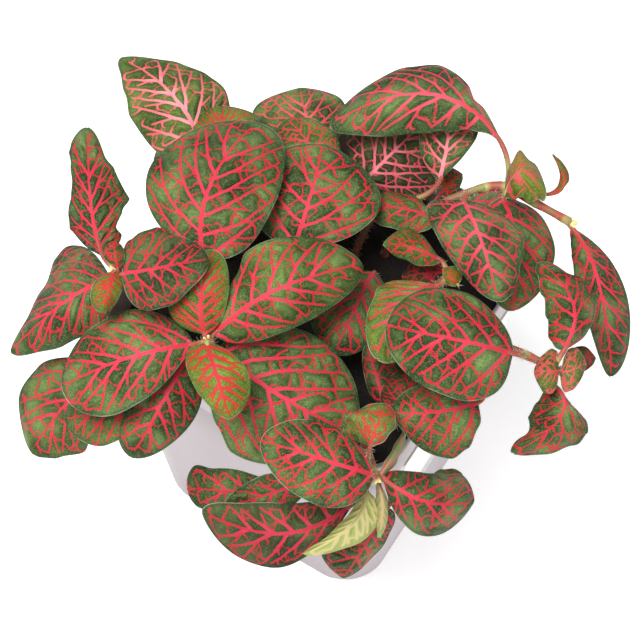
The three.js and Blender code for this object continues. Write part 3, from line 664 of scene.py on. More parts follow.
SHOOTS = {
    "shoot_left_front": leafy_stem(
        (-22, -28), [at(-29, -38, 135), (207, 338, 157)],
        leaf((213, 334, 157), (277, 290, 161), (362, 264, 153), (262, 243, 159), (300, 325, 151),
             youth=0.25, pink=0.5, trim_left=[(0.15, 0.55), (0.3, 0.75), (0.42, 1)]),
        leaf((194, 344, 156), (130, 358, 158), (62, 388, 146), (122, 412, 149), (118, 313, 155),
             youth=0.1, pink=0.5),
        leaf((205, 335, 159), (200, 298, 164), (211, 250, 163), (168, 304, 161), (229, 290, 162),
             youth=0.75, pink=0.1),
        leaf((207, 343, 158), (217, 380, 161), (230, 419, 154), (249, 376, 158), (187, 369, 158),
             youth=0.95, pink=0),
        leaf((216, 350, 149), (280, 394, 144), (354, 434, 132), (318, 338, 139), (230, 452, 131),
             joint=0.75, trim_right=[(0.1, 0.75), (0.25, 0.85), (0.42, 1)]),
        leaf((186, 358, 148), (160, 406, 146), (131, 457, 134), (196, 420, 136), (124, 414, 138),
             joint=0.75, trim_left=[(0.3, 0.95), (0.8, 0.9)]),
        leaf((160, 392, 140), (112, 410, 138), (64, 418, 130), (108, 445, 132), (104, 384, 134),
             joint=0.6, youth=0.2),
    ),
    "shoot_left": leafy_stem(
        (-38, -4), [at(-50, -12, 140), (115, 270, 166)],
        leaf((104, 257, 160), (91, 205, 166), (87, 128, 160), (68, 213, 162), (130, 200, 160),
             wave=1.6, ripples=3, trim_left=[(0.12, 1.2), (0.3, 1), (0.5, 0.8), (0.62, 0.76),
             (0.72, 0.9), (0.81, 1.15), (0.92, 1.35)], trim_right=[(0.14, 0.72), (0.23, 0.55),
             (0.32, 0.75), (0.41, 1), (0.65, 0.8), (0.8, 0.67)]),
        leaf((121, 274, 168), (163, 268, 172), (209, 259, 169), (160, 227, 170), (156, 312, 165),
             youth=0, dusk=0.2,
             trim_left=[(0.05, 1.5), (0.2, 1.15), (0.45, 1), (0.7, 0.8), (0.85, 0.75)],
             trim_right=[(0.5, 0.95), (0.8, 0.85)]),
        leaf((117, 268, 170), (115, 254, 172), (114, 241, 171), (103, 254, 169), (125, 254, 170),
             youth=0.3),
        leaf((113, 272, 168), (108, 292, 169), (102, 313, 164), (122, 290, 166), (91, 290, 166),
             youth=0.85, pink=0),
        leaf((112, 280, 154), (68, 299, 153), (11, 351, 132), (88, 334, 144), (65, 257, 142),
             joint=0.75, trim_left=[(0.6, 1), (0.85, 0.9)],
             trim_right=[(0.25, 1.25), (0.45, 1.1), (0.65, 0.75), (0.85, 0.5)]),
        leaf((108, 370, 131), (70, 400, 126), (31, 452, 106), (84, 455, 109), (32, 372, 118),
             joint=0.45, wave=1.2, youth=0.2, trim_left=[(0.65, 0.95), (0.85, 0.72), (0.95, 0.6)]),
    ),
    "shoot_back_left": leafy_stem(
        (-24, 14), [at(-32, 8, 136), at(-36, -4, 152)],
        leaf((203, 259, 158), (209, 186, 163), (256, 122, 156), (150, 168, 156), (276, 200, 156),
             roundness=0.5),
        leaf((203, 164, 140), (178, 101, 149), (121, 58, 142), (137, 128, 141), (218, 86, 143),
             joint=0.5, youth=0.4, pink=1, trim_left=[(0.55, 1), (0.75, 0.82), (0.92, 0.65)],
             trim_right=[(0.35, 1.1), (0.55, 1), (0.72, 0.85), (0.88, 0.7)]),
        leaf((224, 150, 146), (224, 128, 150), (224, 106, 147), (191, 124, 146), (256, 120, 146),
             joint=0.5, youth=0.7),
        leaf(at(-42, 22, 130), at(-50, 34, 126), at(-56, 47, 104), at(-55, 30, 119),
             at(-42, 40, 120), joint=0.6),
    ),
    "shoot_back": leafy_stem(
        (-2, 18), [at(-4, 14, 128), at(-6, 4, 144)],
        leaf((293, 247, 146), (312, 194, 152), (324, 144, 150), (256, 190, 148), (380, 207, 147),
             trim_left=[(0.6, 1), (0.85, 1.25)], trim_right=[(0.6, 1), (0.85, 0.95)]),
        leaf((318, 158, 138), (308, 120, 143), (300, 88, 138), (259, 116, 136), (346, 108, 137),
             joint=0.5, youth=0.2, pink=0.8, trim_left=[(0.5, 1), (0.78, 1.15)],
             trim_right=[(0.1, 1.25), (0.4, 1)]),
        leaf((326, 166, 144), (306, 141, 147), (287, 119, 145), (278, 146, 144), (334, 133, 145),
             joint=0.6, youth=0.4, pink=0.7),
    ),
    "shoot_back_right": leafy_stem(
        (22, 16), [at(30, 12, 132), (438, 206, 148), (470, 192, 152), (501, 186, 154),
         (537, 204, 153), (570, 222, 150)],
        leaf((501, 141, 153), (430, 93, 162), (331, 123, 148), (412, 137, 152), (408, 61, 152),
             joint=0.77, pink=0.7,
             trim_left=[(0.05, 0.3), (0.18, 0.5), (0.33, 0.75), (0.48, 0.93), (0.62, 1)],
             trim_right=[(0.12, 1), (0.21, 0.68), (0.25, 1.1), (0.4, 1), (0.62, 0.82),
             (0.8, 0.68)]),
        leaf((464, 201, 160), (483, 246, 163), (500, 302, 153), (528, 246, 156), (430, 222, 157),
             joint=0.69, roundness=0.5, pink=0.7, youth=0, dusk=0.1,
             trim_left=[(0.45, 1), (0.6, 0.88), (0.75, 0.72), (0.9, 0.65)]),
        leaf((503, 198, 150), (516, 250, 150), (511, 311, 138), (554, 244, 143), (480, 250, 146),
             joint=0.77),
        leaf((505, 194, 157), (522, 172, 164), (546, 190, 158), (521, 153, 157), (530, 201, 158),
             joint=0.78, wave=1.5, youth=0.95, pink=0.8),
        leaf((540, 194, 155), (564, 186, 158), (552, 155, 160), (559, 170, 158), (569, 176, 158),
             joint=0.86, youth=0.5),
        leaf((572, 228, 149), (600, 286, 140), (611, 376, 112), (629, 300, 130), (578, 290, 132),
             joint=0.99, trim_left=[(0.4, 0.95)],
             trim_right=[(0.05, 0.5), (0.12, 0.65), (0.2, 0.8), (0.35, 1)]),
        leaf((438, 196, 132), (450, 184, 134), (461, 173, 132), (443, 170, 132), (457, 190, 132),
             joint=0.4, youth=0.3),
        leaf((436, 221, 142), (404, 210, 144), (362, 207, 139), (400, 231, 140), (400, 192, 140),
             joint=0.4, youth=0.2),
        leaf(at(44, 21, 131), at(59, 24, 128), at(74, 27, 112), at(57, 34, 122), at(64, 14, 128),
             joint=0.35),
    ),
    "shoot_back_middle": leafy_stem(
        (10, 8), [at(14, 13, 126), at(20, 20, 136)],
        leaf((364, 182, 137), (394, 152, 142), (430, 118, 138), (356, 122, 136), (430, 196, 134),
             pink=0.9, youth=0, dusk=0.5),
        leaf((440, 180, 142), (447, 140, 149), (452, 98, 148), (420, 132, 146), (479, 128, 147),
             pink=1),
    ),
    "shoot_centre": leafy_stem(
        (26, -8), [at(34, -13, 134), (450, 276, 148)],
        leaf((440, 259, 147), (412, 247, 150), (384, 243, 145), (412, 263, 147), (410, 229, 146),
             youth=0.5),
        leaf((438, 285, 147), (404, 304, 149), (377, 359, 146), (424, 338, 147), (380, 291, 146),
             youth=0.7, pink=0.6, trim_right=[(0.08, 1.5), (0.3, 1.15), (0.5, 1)]),
        leaf((458, 284, 150), (451, 276, 152), (444, 268, 151), (447, 284, 150), (460, 270, 150),
             youth=1, pink=0.2),
        leaf((448, 272, 136), (427, 272, 137), (402, 277, 132), (426, 290, 133), (427, 257, 133),
             joint=0.6, dusk=0.6, youth=0),
    ),
    "shoot_inner": leafy_stem(
        (4, -10), [at(10, -14, 124), at(16, -18, 132)],
        leaf((374, 272, 133), (356, 306, 136), (336, 354, 128), (384, 326, 130), (314, 296, 130),
             youth=0),
        leaf((384, 404, 128), (376, 374, 132), (366, 346, 130), (366, 383, 128), (400, 366, 129),
             wave=1.2, dusk=0.6, youth=0),
        leaf((398, 420, 130), (404, 396, 134), (414, 370, 132), (382, 388, 131), (428, 398, 130),
             dusk=0.6, youth=0),
    ),
    "shoot_right": leafy_stem(
        (32, -24), [at(46, -33, 140), at(62, -42, 144), (558, 371, 141)],
        leaf((513, 353, 155), (450, 339, 164), (386, 326, 158), (456, 399, 153), (452, 289, 157),
             joint=0.8, roundness=0.5),
        leaf((478, 403, 139), (430, 413, 143), (392, 412, 142), (462, 458, 131), (428, 384, 141),
             joint=0.5, trim_left=[(0.05, 0.6), (0.2, 0.85), (0.4, 1)]),
        leaf((564, 350, 146), (573, 305, 151), (540, 262, 147), (546, 312, 146), (595, 303, 146),
             wave=1.6, ripples=4),
        leaf((558, 371, 144), (546, 371, 146), (534, 372, 144), (549, 394, 143), (553, 349, 144),
             youth=0.6, pink=0.9),
        leaf((560, 371, 143), (573, 370, 145), (586, 362, 142), (570, 348, 143), (568, 392, 142),
             youth=0.5, pink=1),
        leaf((555, 387, 138), (561, 416, 136), (513, 453, 122), (588, 428, 128), (528, 416, 128),
             joint=0.95, wave=1.8, ripples=4, trim_right=[(0.5, 1), (0.75, 0.6), (0.92, 0.75)]),
        leaf((566, 366, 137), (580, 360, 136), (595, 357, 132), (578, 346, 134), (582, 372, 134),
             joint=0.95, dusk=0.5),
    ),
    "shoot_front": leafy_stem(
        (11, -46), [at(12, -58, 126), (376, 478, 132)],
        leaf((374, 476, 136), (322, 459, 145), (261, 440, 143), (317, 505, 137), (325, 423, 144)),
        leaf((379, 477, 132), (393, 455, 134), (405, 431, 133), (390, 453, 133), (398, 459, 131),
             turned=True),
        leaf((383, 477, 131), (425, 500, 132), (474, 501, 119), (430, 470, 124), (424, 536, 116),
             trim_left=[(0.2, 0.8), (0.45, 0.85), (0.68, 1), (0.88, 1.4)]),
        leaf((366, 489, 127), (352, 524, 120), (304, 554, 110), (338, 526, 117), (378, 524, 117),
             youth=1, fine_back=True),
        leaf((377, 480, 128), (383, 506, 124), (379, 537, 114), (388, 508, 122), (377, 510, 121),
             turned=True, youth=0.6, pink=0.6),
        leaf((352, 505, 121), (281, 534, 114), (202, 512, 116), (266, 567, 102), (272, 503, 118),
             youth=0.1, dusk=0.5),
        leaf((388, 508, 112), (366, 542, 104), (343, 578, 88), (389, 540, 98), (324, 540, 98),
             youth=0.15, trim_left=[(0.3, 0.85), (0.6, 0.9)]),
        leaf((428, 486, 112), (445, 480, 112), (462, 474, 109), (440, 470, 110), (448, 490, 110),
             youth=0.7),
        leaf((370, 446, 144), (377, 424, 149), (387, 404, 147), (344, 424, 144), (394, 428, 146),
             joint=0.9, wave=1.2, youth=0.45),
    ),
    "shoot_front_left": leafy_stem(
        (-6, -42), [at(-5, -54, 124.5), at(-4, -64, 124)],
        leaf((310, 492, 114), (250, 492, 109), (187, 487, 108), (226, 513, 101), (222, 468, 112),
             trim_left=[(0.8, 1), (0.95, 1.2)], trim_right=[(0.75, 1), (0.92, 1.4)]),
        leaf((322, 478, 127), (276, 490, 119), (226, 505, 114), (270, 518, 111), (268, 474, 124)),
    ),
    "shoot_back_corner": leafy_stem(
        (-16, 40), [at(-20, 50, 127)],
        leaf(at(-34, 44, 131), at(-46, 57, 126), at(-54, 67, 102), at(-54, 47, 118),
             at(-34, 62, 120)),
        leaf(at(-23, 53, 128), at(-30, 62, 127), at(-35, 71, 108), at(-40, 57, 118),
             at(-23, 62, 124)),
        leaf(at(-14, 54, 130), at(-11, 69, 127), at(-8, 80, 108), at(-21, 66, 122), at(2, 66, 123)),
    ),
    "shoot_back_edge": leafy_stem(
        (20, 34), [at(22, 42, 127)],
        leaf(at(12, 51, 131), at(14, 63, 128), at(15, 75, 108), at(3, 64, 123), at(25, 61, 121)),
        leaf(at(26, 45, 129), at(33, 59, 126), at(37, 72, 106), at(21, 62, 121), at(43, 53, 118)),
    ),
}
LEAF_COUNT = sum(len(shoot["leaves"]) for shoot in SHOOTS.values())
print(len(SHOOTS), "leafy stems with", LEAF_COUNT, "leaves")

# %% Crumbs on the soil and its finish
STEM_RADIUS = 1.5 * MM
HOLE_RADIUS = STEM_RADIUS + 0.9 * MM
SOIL_CRUMBS = 520
CRUMB_LOW, CRUMB_HIGH = 0.5 * MM, 1.6 * MM
CRUMB_MARGIN = 2 * MM
CRUMB_ROOM = 1.3
CRUMB_FLATNESS = 0.7
CRUMB_LIFT = 0.25


def lumpy_stone(chance):
    """One crumb of radius about 1: a ball of a few faces with its points pushed about."""
    bpy.ops.mesh.primitive_ico_sphere_add(subdivisions=1, radius=1)
    stone = bpy.context.object
    for vertex in stone.data.vertices:
        vertex.co *= chance.uniform(0.7, 1.2)
    points = np.array([v.co for v in stone.data.vertices])
    faces = [list(face.vertices) for face in stone.data.polygons]
    bpy.data.objects.remove(stone)
    return points, faces


STEM_ROOTS = [shoot["root"] for shoot in SHOOTS.values()]
CRUMB_REACH = wall_half(WALL_INSIDE_TOP) - WALL - SOIL_GAP - CRUMB_MARGIN
alone()
stone_points, stone_faces = lumpy_stone(soil_random)
crumbs = []
while len(crumbs) < SOIL_CRUMBS:
    across, along = (soil_random.uniform(-1, 1) * CRUMB_REACH for _ in range(2))
    x, y = as_pot(across, along)
    inset = max(abs(across), abs(along)) / CRUMB_REACH
    size = soil_random.uniform(CRUMB_LOW, CRUMB_HIGH) * soil_random.choice((0.6, 0.8, 1))
    clear = HOLE_RADIUS + size * CRUMB_ROOM
    if any(math.hypot(x - a * MM, y - b * MM) < clear for a, b in STEM_ROOTS):
        continue
    spread = [size * soil_random.uniform(0.7, 1.2), size, size * CRUMB_FLATNESS]
    middle = [x, y, soil_height(x, y, inset) + size * CRUMB_LIFT]
    crumbs.append((stone_points * spread + middle, stone_faces))
loose = join_copies("soil_crumbs", crumbs, smooth=False)
alone(soil)
loose.select_set(True)
bpy.ops.object.join()
print("soil points:", len(soil.data.vertices))


def soil_look(tree):
    grain = speckle(tree, 1.1 * MM, 6, 0.7)
    patch = speckle(tree, 9 * MM, 3)
    colour = blend(tree, grain.ramp(0.38, 0.72), paint(12, 8, 7), paint(40, 29, 24))
    colour = blend(tree, patch.ramp(0.55, 0.75) * 0.5, colour, paint(22, 16, 14))
    return {
        "Base Color": colour,
        "Roughness": 0.8 + 0.2 * grain,
        "Normal": relief(tree, grain, 0.5 * MM),
    }


soil.data.materials.append(finish_of("peat", soil_look))
hand_over(soil, "soil", "soil")

# %% [markdown]
# ## The shape of a blade
# A blade is a sheet: its midrib is an arc through three places, and each half reaches out
# to its edge by a formula that is 1 at the widest place and falls to the base and the tip.
# By hand, a plane could be cut, bent and smoothed sixty times. A formula does the same for
# every leaf at once, keeps to the CAD's blades, and can carry veins finer than a hand cut.

# %% Formulas of a blade
BLADE_NECK = 0.7 * MM
TIP_ROUNDNESS = 0.6
CUP_POWER = 1.5
WAVE = 0.5
RIPPLES = 2.5
WIDEST_RANGE = (0.28, 0.68)


def unit(vector):
    return vector / np.linalg.norm(vector)


def trimmed(trim, u):
    """An edge made fuller or narrower: pairs of a place along the blade and a factor."""
    if not trim:
        return np.ones_like(u)
    places, factors = np.array(trim).T
    n = np.clip(np.searchsorted(places, u, side="right"), 1, max(1, len(places) - 1))
    before, after = n - 1, np.minimum(n, len(places) - 1)
    share = (u - places[before]) / np.maximum(places[after] - places[before], 1e-6)
    share = np.clip(share, 0, 1)
    share = share * share * (3 - 2 * share)
    return factors[before] + (factors[after] - factors[before]) * share


class Blade:
    """A leaf's measured places, and the sheet that goes through them."""

    def __init__(self, leaf):
        base, mid, tip = (place(leaf[k]) for k in ("base", "mid", "tip"))
        left, right = place(leaf["left"]), place(leaf["right"])
        self.base, self.tip = base, tip
        self.control = 2 * mid - (base + tip) / 2
        self.length = np.linalg.norm(tip - base)
        self.axis = unit(tip - base)
        self.normal = unit(np.cross(self.axis, left - right))
        self.left = self.half(left, leaf.get("trim_left"))
        self.right = self.half(right, leaf.get("trim_right"))
        self.roundness = leaf.get("roundness", TIP_ROUNDNESS)
        self.wave = leaf.get("wave", WAVE) * MM
        self.ripples = leaf.get("ripples", RIPPLES)

    def rib(self, u):
        """Places on the midrib: u is 0 at the base and 1 at the tip."""
        u = np.asarray(u, float)[..., None]
        return (1 - u) ** 2 * self.base + 2 * u * (1 - u) * self.control + u**2 * self.tip

    def half(self, edge, trim):
        """Where one half is widest, how it reaches out and rises there, and its trim."""
        widest = np.clip((edge - self.base) @ self.axis / self.length, *WIDEST_RANGE)
        reach = edge - self.rib(widest)
        rise = reach @ self.normal
        return widest, reach - rise * self.normal, rise, trim

    def width(self, u, half):
        """How wide a half is along the leaf, in metres."""
        widest, flat, _, trim = half
        span = np.linalg.norm(flat)
        u = np.clip(u, 0, 1)
        grow = (u / widest) ** (self.roundness * widest / (1 - widest))
        fall = ((1 - u) / (1 - widest)) ** self.roundness
        return np.maximum(grow * fall * span * trimmed(trim, u), BLADE_NECK)

    def sheet(self, u, v):
        """Points of the sheet: u runs from base to tip, v from -1 (right) to 1 (left)."""
        out = np.abs(v)[..., None]
        where = self.rib(u)
        for half, mine, phase in ((self.left, v > 0, 0.0), (self.right, v <= 0, 2.0)):
            _, flat, rise, _ = half
            span = np.linalg.norm(flat)
            share = (self.width(u, half) / span)[..., None]
            ripple = np.sin(self.ripples * 2 * math.pi * u + phase)[..., None]
            lift = out**CUP_POWER * rise + self.wave * out**2 * ripple
            offset = share * (out * flat + lift * self.normal)
            where = where + offset * mine[..., None]
        return where

    def flat_place(self, u, v):
        """The same points with the leaf pressed flat: along and across, in metres."""
        across = np.where(v > 0, self.width(u, self.left), self.width(u, self.right)) * v
        return np.stack([u * self.length, across], axis=-1)


first = Blade(SHOOTS["shoot_back_left"]["leaves"][0])
print("the large round leaf is", round(first.length / MM, 1), "mm long")

# %% [markdown]
# ## Veins
# The red net is what makes this plant. A midrib runs up the leaf, pairs of side veins
# leave it and arch towards the tip, and finer veins between them close small fields. The
# net is grown on the flat leaf. Each point of it knows its place, the point it grew from,
# its heading and its half width. Lengths are millimetres here, and the widths below are
# those of a leaf of FULL_LENGTH: a smaller leaf has finer veins. Draws are seeded, so
# every run gives the same leaves.

# %% Points of a vein net
STEP = 0.7
FAR = 99.0
FULL_LENGTH = 36
MARGIN_PLACES = 90
MIDRIB_BASE, MIDRIB_TIP = 0.72, 0.27
SIDE_SHARE, SIDE_LEAST, SIDE_TIP = 0.72, 0.52, 0.28
BORDER = 1.2
TURNS_LIMIT = 40
STUB_STEPS = 4
TWIGS_KEPT = 0.3
LINK_MIDDLE = 0.2


class VeinPoints:
    """The points of a leaf's veins on the flat leaf, in millimetres."""

    def __init__(self, blade, seed, young=False):
        self.random = random.Random(seed)
        self.young = young
        self.length = blade.length / MM
        t = np.linspace(0, 1, MARGIN_PLACES)
        left = np.stack([t * blade.length, blade.width(t, blade.left)], -1)
        right = np.stack([t * blade.length, -blade.width(t, blade.right)], -1)
        self.margin = np.concatenate([left, right[::-1]]) / MM
        self.blade = blade
        self.girth = min(1.15, max(0.4, (self.length / FULL_LENGTH) ** 0.6))
        self.girth *= 1.3 if young and self.length > 8 else 1.0
        self.spots, self.parents, self.headings, self.girths = [], [], [], []
        self.joins = []

    def room(self, x, y):
        """How far a place is from the margin, negative outside."""
        u = x / self.length
        half = self.blade.left if y > 0 else self.blade.right
        if not 0 < u < 1 or abs(y) > self.blade.width(u, half) / MM:
            return -1.0
        return float(np.hypot(*(self.margin - (x, y)).T).min())

    def add(self, x, y, parent, heading, girth):
        self.spots.append((x, y))
        self.parents.append(parent)
        self.headings.append(heading)
        self.girths.append(girth)
        return len(self.spots) - 1


empty_net = VeinPoints(first, 3)
print("its veins are", round(empty_net.girth, 2), "times as wide as the usual ones")

# %% [markdown]
# The stout veins come first. Each takes short steps, and its heading turns little by little
# from the way it sets out to the way it ends. It stops at the border or at another vein.


# %% Grow the midrib and the side veins
class StoutVeins(VeinPoints):
    """A net that can grow its midrib and its side veins."""

    def main_vein(self, start, heading, aim, bend, reach, girth, thin, border):
        """A stout vein whose heading turns towards aim. Gives back its points."""
        x, y = self.spots[start]
        track = []
        sway = self.random.uniform(0, 6)
        for i in range(int(reach / STEP)):
            heading += (aim - heading) * bend + 0.07 * math.sin(sway + 0.9 * i)
            heading += self.random.gauss(0, 0.035)
            x, y = x + STEP * math.cos(heading), y + STEP * math.sin(heading)
            room = self.room(x, y)
            if room < 0 or (i > 3 and room < border and x > 0.3 * self.length):
                break
            apart = np.hypot(*(np.array(self.spots) - (x, y)).T)
            if i > 3 and aim and apart.min() < 1.1 * self.girth:
                break
            track.append((x, y, heading))
        made, parent = [], start
        for spot, stout in zip(track, np.linspace(girth, thin, max(1, len(track)))):
            x, y, heading = spot
            parent = self.add(x, y, parent, heading, stout)
            made.append(parent)
        return made

    def skeleton(self):
        """The midrib, and pairs of side veins that arch towards the tip."""
        draw, girth, length = self.random, self.girth, self.length
        thick, thin = MIDRIB_BASE * girth, MIDRIB_TIP * girth
        root = self.add(0, 0, 0, 0, thick)
        midrib = self.main_vein(root, 0, 0, 0.5, 0.95 * length, thick, thin, BORDER)
        thin, border = SIDE_TIP * girth, BORDER * girth
        pairs = 4 + (length > 26) + (length > 40) + 2 * self.young
        for n in range(2 * pairs):
            side = 1 if n % 2 else -1
            share = (n // 2) / (pairs - 1)
            spot = 0.03 + 0.66 * share + 0.02 * side + draw.uniform(-0.015, 0.015)
            start = min(midrib, key=lambda k: abs(self.spots[k][0] - spot * length))
            lean = side * math.radians(66 - 22 * share + draw.uniform(-5, 5))
            aim = side * math.radians(30 - 10 * share + draw.uniform(-4, 4))
            thick = max(SIDE_SHARE * self.girths[start], SIDE_LEAST * girth)
            vein = self.main_vein(start, lean, aim, 0.05, 0.85 * length, thick, thin, border)
            if len(vein) < 9:
                continue
            for spot in (0.25, 0.55)[: 2 if n < 4 else 1]:
                fork = vein[int(len(vein) * (spot + draw.uniform(-0.06, 0.12)))]
                turn = side * math.radians(draw.uniform(28, 44))
                lean, thick = self.headings[fork] + turn, 0.78 * self.girths[fork]
                aim = lean - 0.6 * turn
                self.main_vein(fork, lean, aim, 0.08, 0.3 * length, thick, thin, border)


stout_net = StoutVeins(first, 3)
stout_net.skeleton()
print("its stout veins have", len(stout_net.spots), "points")

# %% [markdown]
# The finer veins grow as a plant grows them: random places that still lack a vein pull the
# nearest one towards them, step by step, until it is close.


# %% Grow the finer veins
class FineVeins(StoutVeins):
    """A net that can also grow finer veins."""

    def sources(self, gap, clear):
        """Random places in the leaf, apart from one another and clear of all veins."""
        low, high = self.margin.min(0), self.margin.max(0)
        veins = np.array(self.spots)
        found = np.empty((0, 2))
        for _ in range(int(12 * (high - low).prod() / gap**2)):
            spot = np.array([self.random.uniform(a, b) for a, b in zip(low, high)])
            if np.hypot(*(veins - spot).T).min() < clear:
                continue
            if len(found) and np.hypot(*(found - spot).T).min() < gap:
                continue
            if self.room(*spot) > 0.75 * self.girth:
                found = np.vstack([found, spot])
        return found

    def seek(self, gap, clear, kill, keep):
        """Finer veins grow from the nearest vein towards every source."""
        left = self.sources(gap, clear)
        start = len(self.spots)
        for _ in range(TURNS_LIMIT):
            if not len(left):
                break
            spots = np.array(self.spots)
            away = left[:, None, :] - spots
            apart = np.hypot(away[..., 0], away[..., 1])
            near = apart.argmin(1)
            for n in np.unique(near):
                mine = near == n
                pull = (away[mine, n] / apart[mine, n][:, None]).sum(0)
                pull = pull / max(np.hypot(*pull), 1e-6)
                ahead = np.array([math.cos(self.headings[n]), math.sin(self.headings[n])])
                pull = pull + keep * ahead
                turn = math.atan2(pull[1], pull[0]) + self.random.gauss(0, 0.2)
                x, y = spots[n] + STEP * np.array([math.cos(turn), math.sin(turn)])
                self.add(x, y, int(n), turn, 0)
            spots = np.array(self.spots)
            apart = np.hypot(*np.moveaxis(left[:, None, :] - spots, 2, 0))
            left = left[apart.min(1) > kill]
        return start


fine_net = FineVeins(first, 3)
fine_net.skeleton()
fine_net.seek(2.5, 1.2, 0.8, 1.0)
print("with some finer veins it has", len(fine_net.spots), "points")

# %% [markdown]
# Some tips run on into a vein ahead of them, which closes a field, and most of the shortest
# dead ends are left out. The width of a fine vein grows with the number of points it feeds.


# %% Close the fields and set the widths
class VeinNet(FineVeins):
    """A net that can fill the whole leaf."""

    def close(self, start, reach, chance):
        """Some tips run on into a vein ahead of them, which closes a field."""
        parents = set(self.parents)
        spots = np.array(self.spots)
        for n in range(start, len(spots)):
            if n in parents or self.random.random() > chance:
                continue
            line = [n]
            while len(line) < 9 and line[-1] > 0:
                line.append(self.parents[line[-1]])
            away = spots - spots[n]
            apart = np.hypot(*away.T)
            ahead = away @ [math.cos(self.headings[n]), math.sin(self.headings[n])]
            apart[ahead < 0.4 * apart] = FAR
            apart[line] = FAR
            near = int(apart.argmin())
            if apart[near] < reach:
                self.joins.append((n, near))

    def stubs(self, start):
        """Most of the shortest dead ends, which a real leaf hasn't got."""
        forks = np.bincount(self.parents, minlength=len(self.spots))
        for a, b in self.joins:
            forks[a] += 1
            forks[b] += 1
        found = set()
        for n in range(len(self.spots) - 1, start - 1, -1):
            line = [n]
            while forks[line[-1]] == (len(line) > 1) and line[-1] >= start:
                line.append(self.parents[line[-1]])
            if 1 < len(line) <= STUB_STEPS and self.random.random() > TWIGS_KEPT:
                found.update(line[:-1])
        return found

    def fill(self):
        """All the veins: rows of two ends and the half widths there."""
        g = self.girth
        self.skeleton()
        first = self.seek(1.4 + 1.4 * g, 0.4 + 1.0 * g, g, 1.1)
        self.close(first, 4.2 * g, 0.3 if self.young else 0.8)
        second = self.seek(1.2 + 1.1 * g, 0.4 + 0.7 * g, 0.8 * g, 0.9)
        self.close(second, 2.4 * g, 0.2 if self.young else 0.5)
        stubs = self.stubs(first)
        load = np.zeros(len(self.spots))
        for n in range(len(self.spots) - 1, first - 1, -1):
            load[n] += 1
            load[self.parents[n]] += load[n]
            slim = (0.24 if n < second else 0.18) * (0.4 + 0.6 * g)
            self.girths[n] = min(slim + 0.04 * load[n] ** 0.6, 0.42 * g)
        pieces = []
        for n in range(1, len(self.spots)):
            if n in stubs:
                continue
            up = self.parents[n]
            stout = min(self.girths[up], 1.25 * self.girths[n])
            pieces.append((*self.spots[up], *self.spots[n], stout, self.girths[n]))
        for a, b in self.joins:
            start, stop = np.array(self.spots[a]), np.array(self.spots[b])
            bow = self.random.uniform(-0.22, 0.22) * (stop - start)[::-1] * (1, -1)
            elbow = (start + stop) / 2 + bow
            pieces.append((*start, *elbow, self.girths[a], LINK_MIDDLE))
            pieces.append((*elbow, *stop, LINK_MIDDLE, self.girths[a]))
        return np.array(pieces)


net = VeinNet(first, 3).fill()
print("the large round leaf has", len(net), "pieces of vein")

# %% [markdown]
# A net of lines has to become a pattern with clear edges. For every point of a fine sheet
# the nearest vein is found, and its half width less the distance is kept as a number on
# the point: above 0 lies on a vein. Shaders can read such numbers as attributes, so the
# colour and the puckered relief come from the same net. The distance to the margin is
# found in the same way, for the dark border.

# %% Distances to veins and to the margin
BATCH = 1500


def nearest_vein(points, pieces):
    """For each flat point in mm: half width less distance, and that vein's half width."""
    start, stop = pieces[:, 0:2], pieces[:, 2:4]
    along = stop - start
    size = (along**2).sum(1) + 1e-9
    best = np.empty(len(points))
    girth = np.empty(len(points))
    for low in range(0, len(points), BATCH):
        some = points[low : low + BATCH]
        away = some[:, None, :] - start
        share = np.clip((away * along).sum(2) / size, 0, 1)
        apart = np.hypot(*np.moveaxis(away - share[..., None] * along, 2, 0))
        half = pieces[:, 4] + (pieces[:, 5] - pieces[:, 4]) * share
        depth = half - apart
        pick = depth.argmax(1)
        rows = np.arange(len(some))
        best[low : low + BATCH] = depth[rows, pick]
        girth[low : low + BATCH] = half[rows, pick]
    return best, girth


def smooth(low, high, x):
    """0 below low, 1 above high and smooth between them."""
    t = np.clip((x - low) / (high - low), 0, 1)
    return t * t * (3 - 2 * t)


print("vein depth at the first point:", nearest_vein(net[:1, :2], net)[0])

# %% [markdown]
# The sheet becomes a closed blade. Its upper side is a fine grid, raised a little between
# the veins, as on the puckered leaves of this plant. Its underside is a coarser grid with
# the veins standing out as ribs. A narrow wall joins the two along the edge, which is much
# thinner than the middle. PUCKER is how far a field rises, GROOVE how deep a stout vein
# lies in the upper side and RIB how far it stands out below.

# %% Grids, fields and faces of a blade
SPACING = 0.39
UPPER = 0.24 * MM
LOWER = 0.22 * MM
EDGE = 0.1 * MM
PUCKER = 0.5 * MM
GROOVE = 0.16 * MM
RIB = 0.3 * MM
BACK_STEP = 3
STOUT_VEIN = 0.27
INNER = 2.4
FIELD = 2.2
PUFF_LENGTH = 34 * MM
USUAL = {"youth": 0.08, "pink": 0.4, "dusk": 0.0}
NUMBERS = ("vein", "girth", "rim", "side", *USUAL)


def sheet_grid(blade, step):
    """Rows and columns of a grid whose counts suit the coarser underside."""
    wide = (blade.width(0.5, blade.left) + blade.width(0.5, blade.right)) / MM
    rows = max(6, int(blade.length / MM / SPACING / step) + 1) * step
    columns = max(3, int(wide / SPACING / step / 2) + 1) * step * 2
    t = np.linspace(0, 1, rows + 1)
    u = 0.5 * t + 0.25 * (1 - np.cos(math.pi * t))
    v = np.linspace(-1, 1, columns + 1)
    return np.meshgrid(u, v, indexing="ij")


def sheet_normals(points, rough):
    """The sheet's direction at every point, or the rough one where the sheet has no width."""
    normals = np.cross(np.gradient(points, axis=0), np.gradient(points, axis=1))
    size = np.linalg.norm(normals, axis=2, keepdims=True)
    return np.where(size > 1e-12, normals / np.maximum(size, 1e-12), rough)


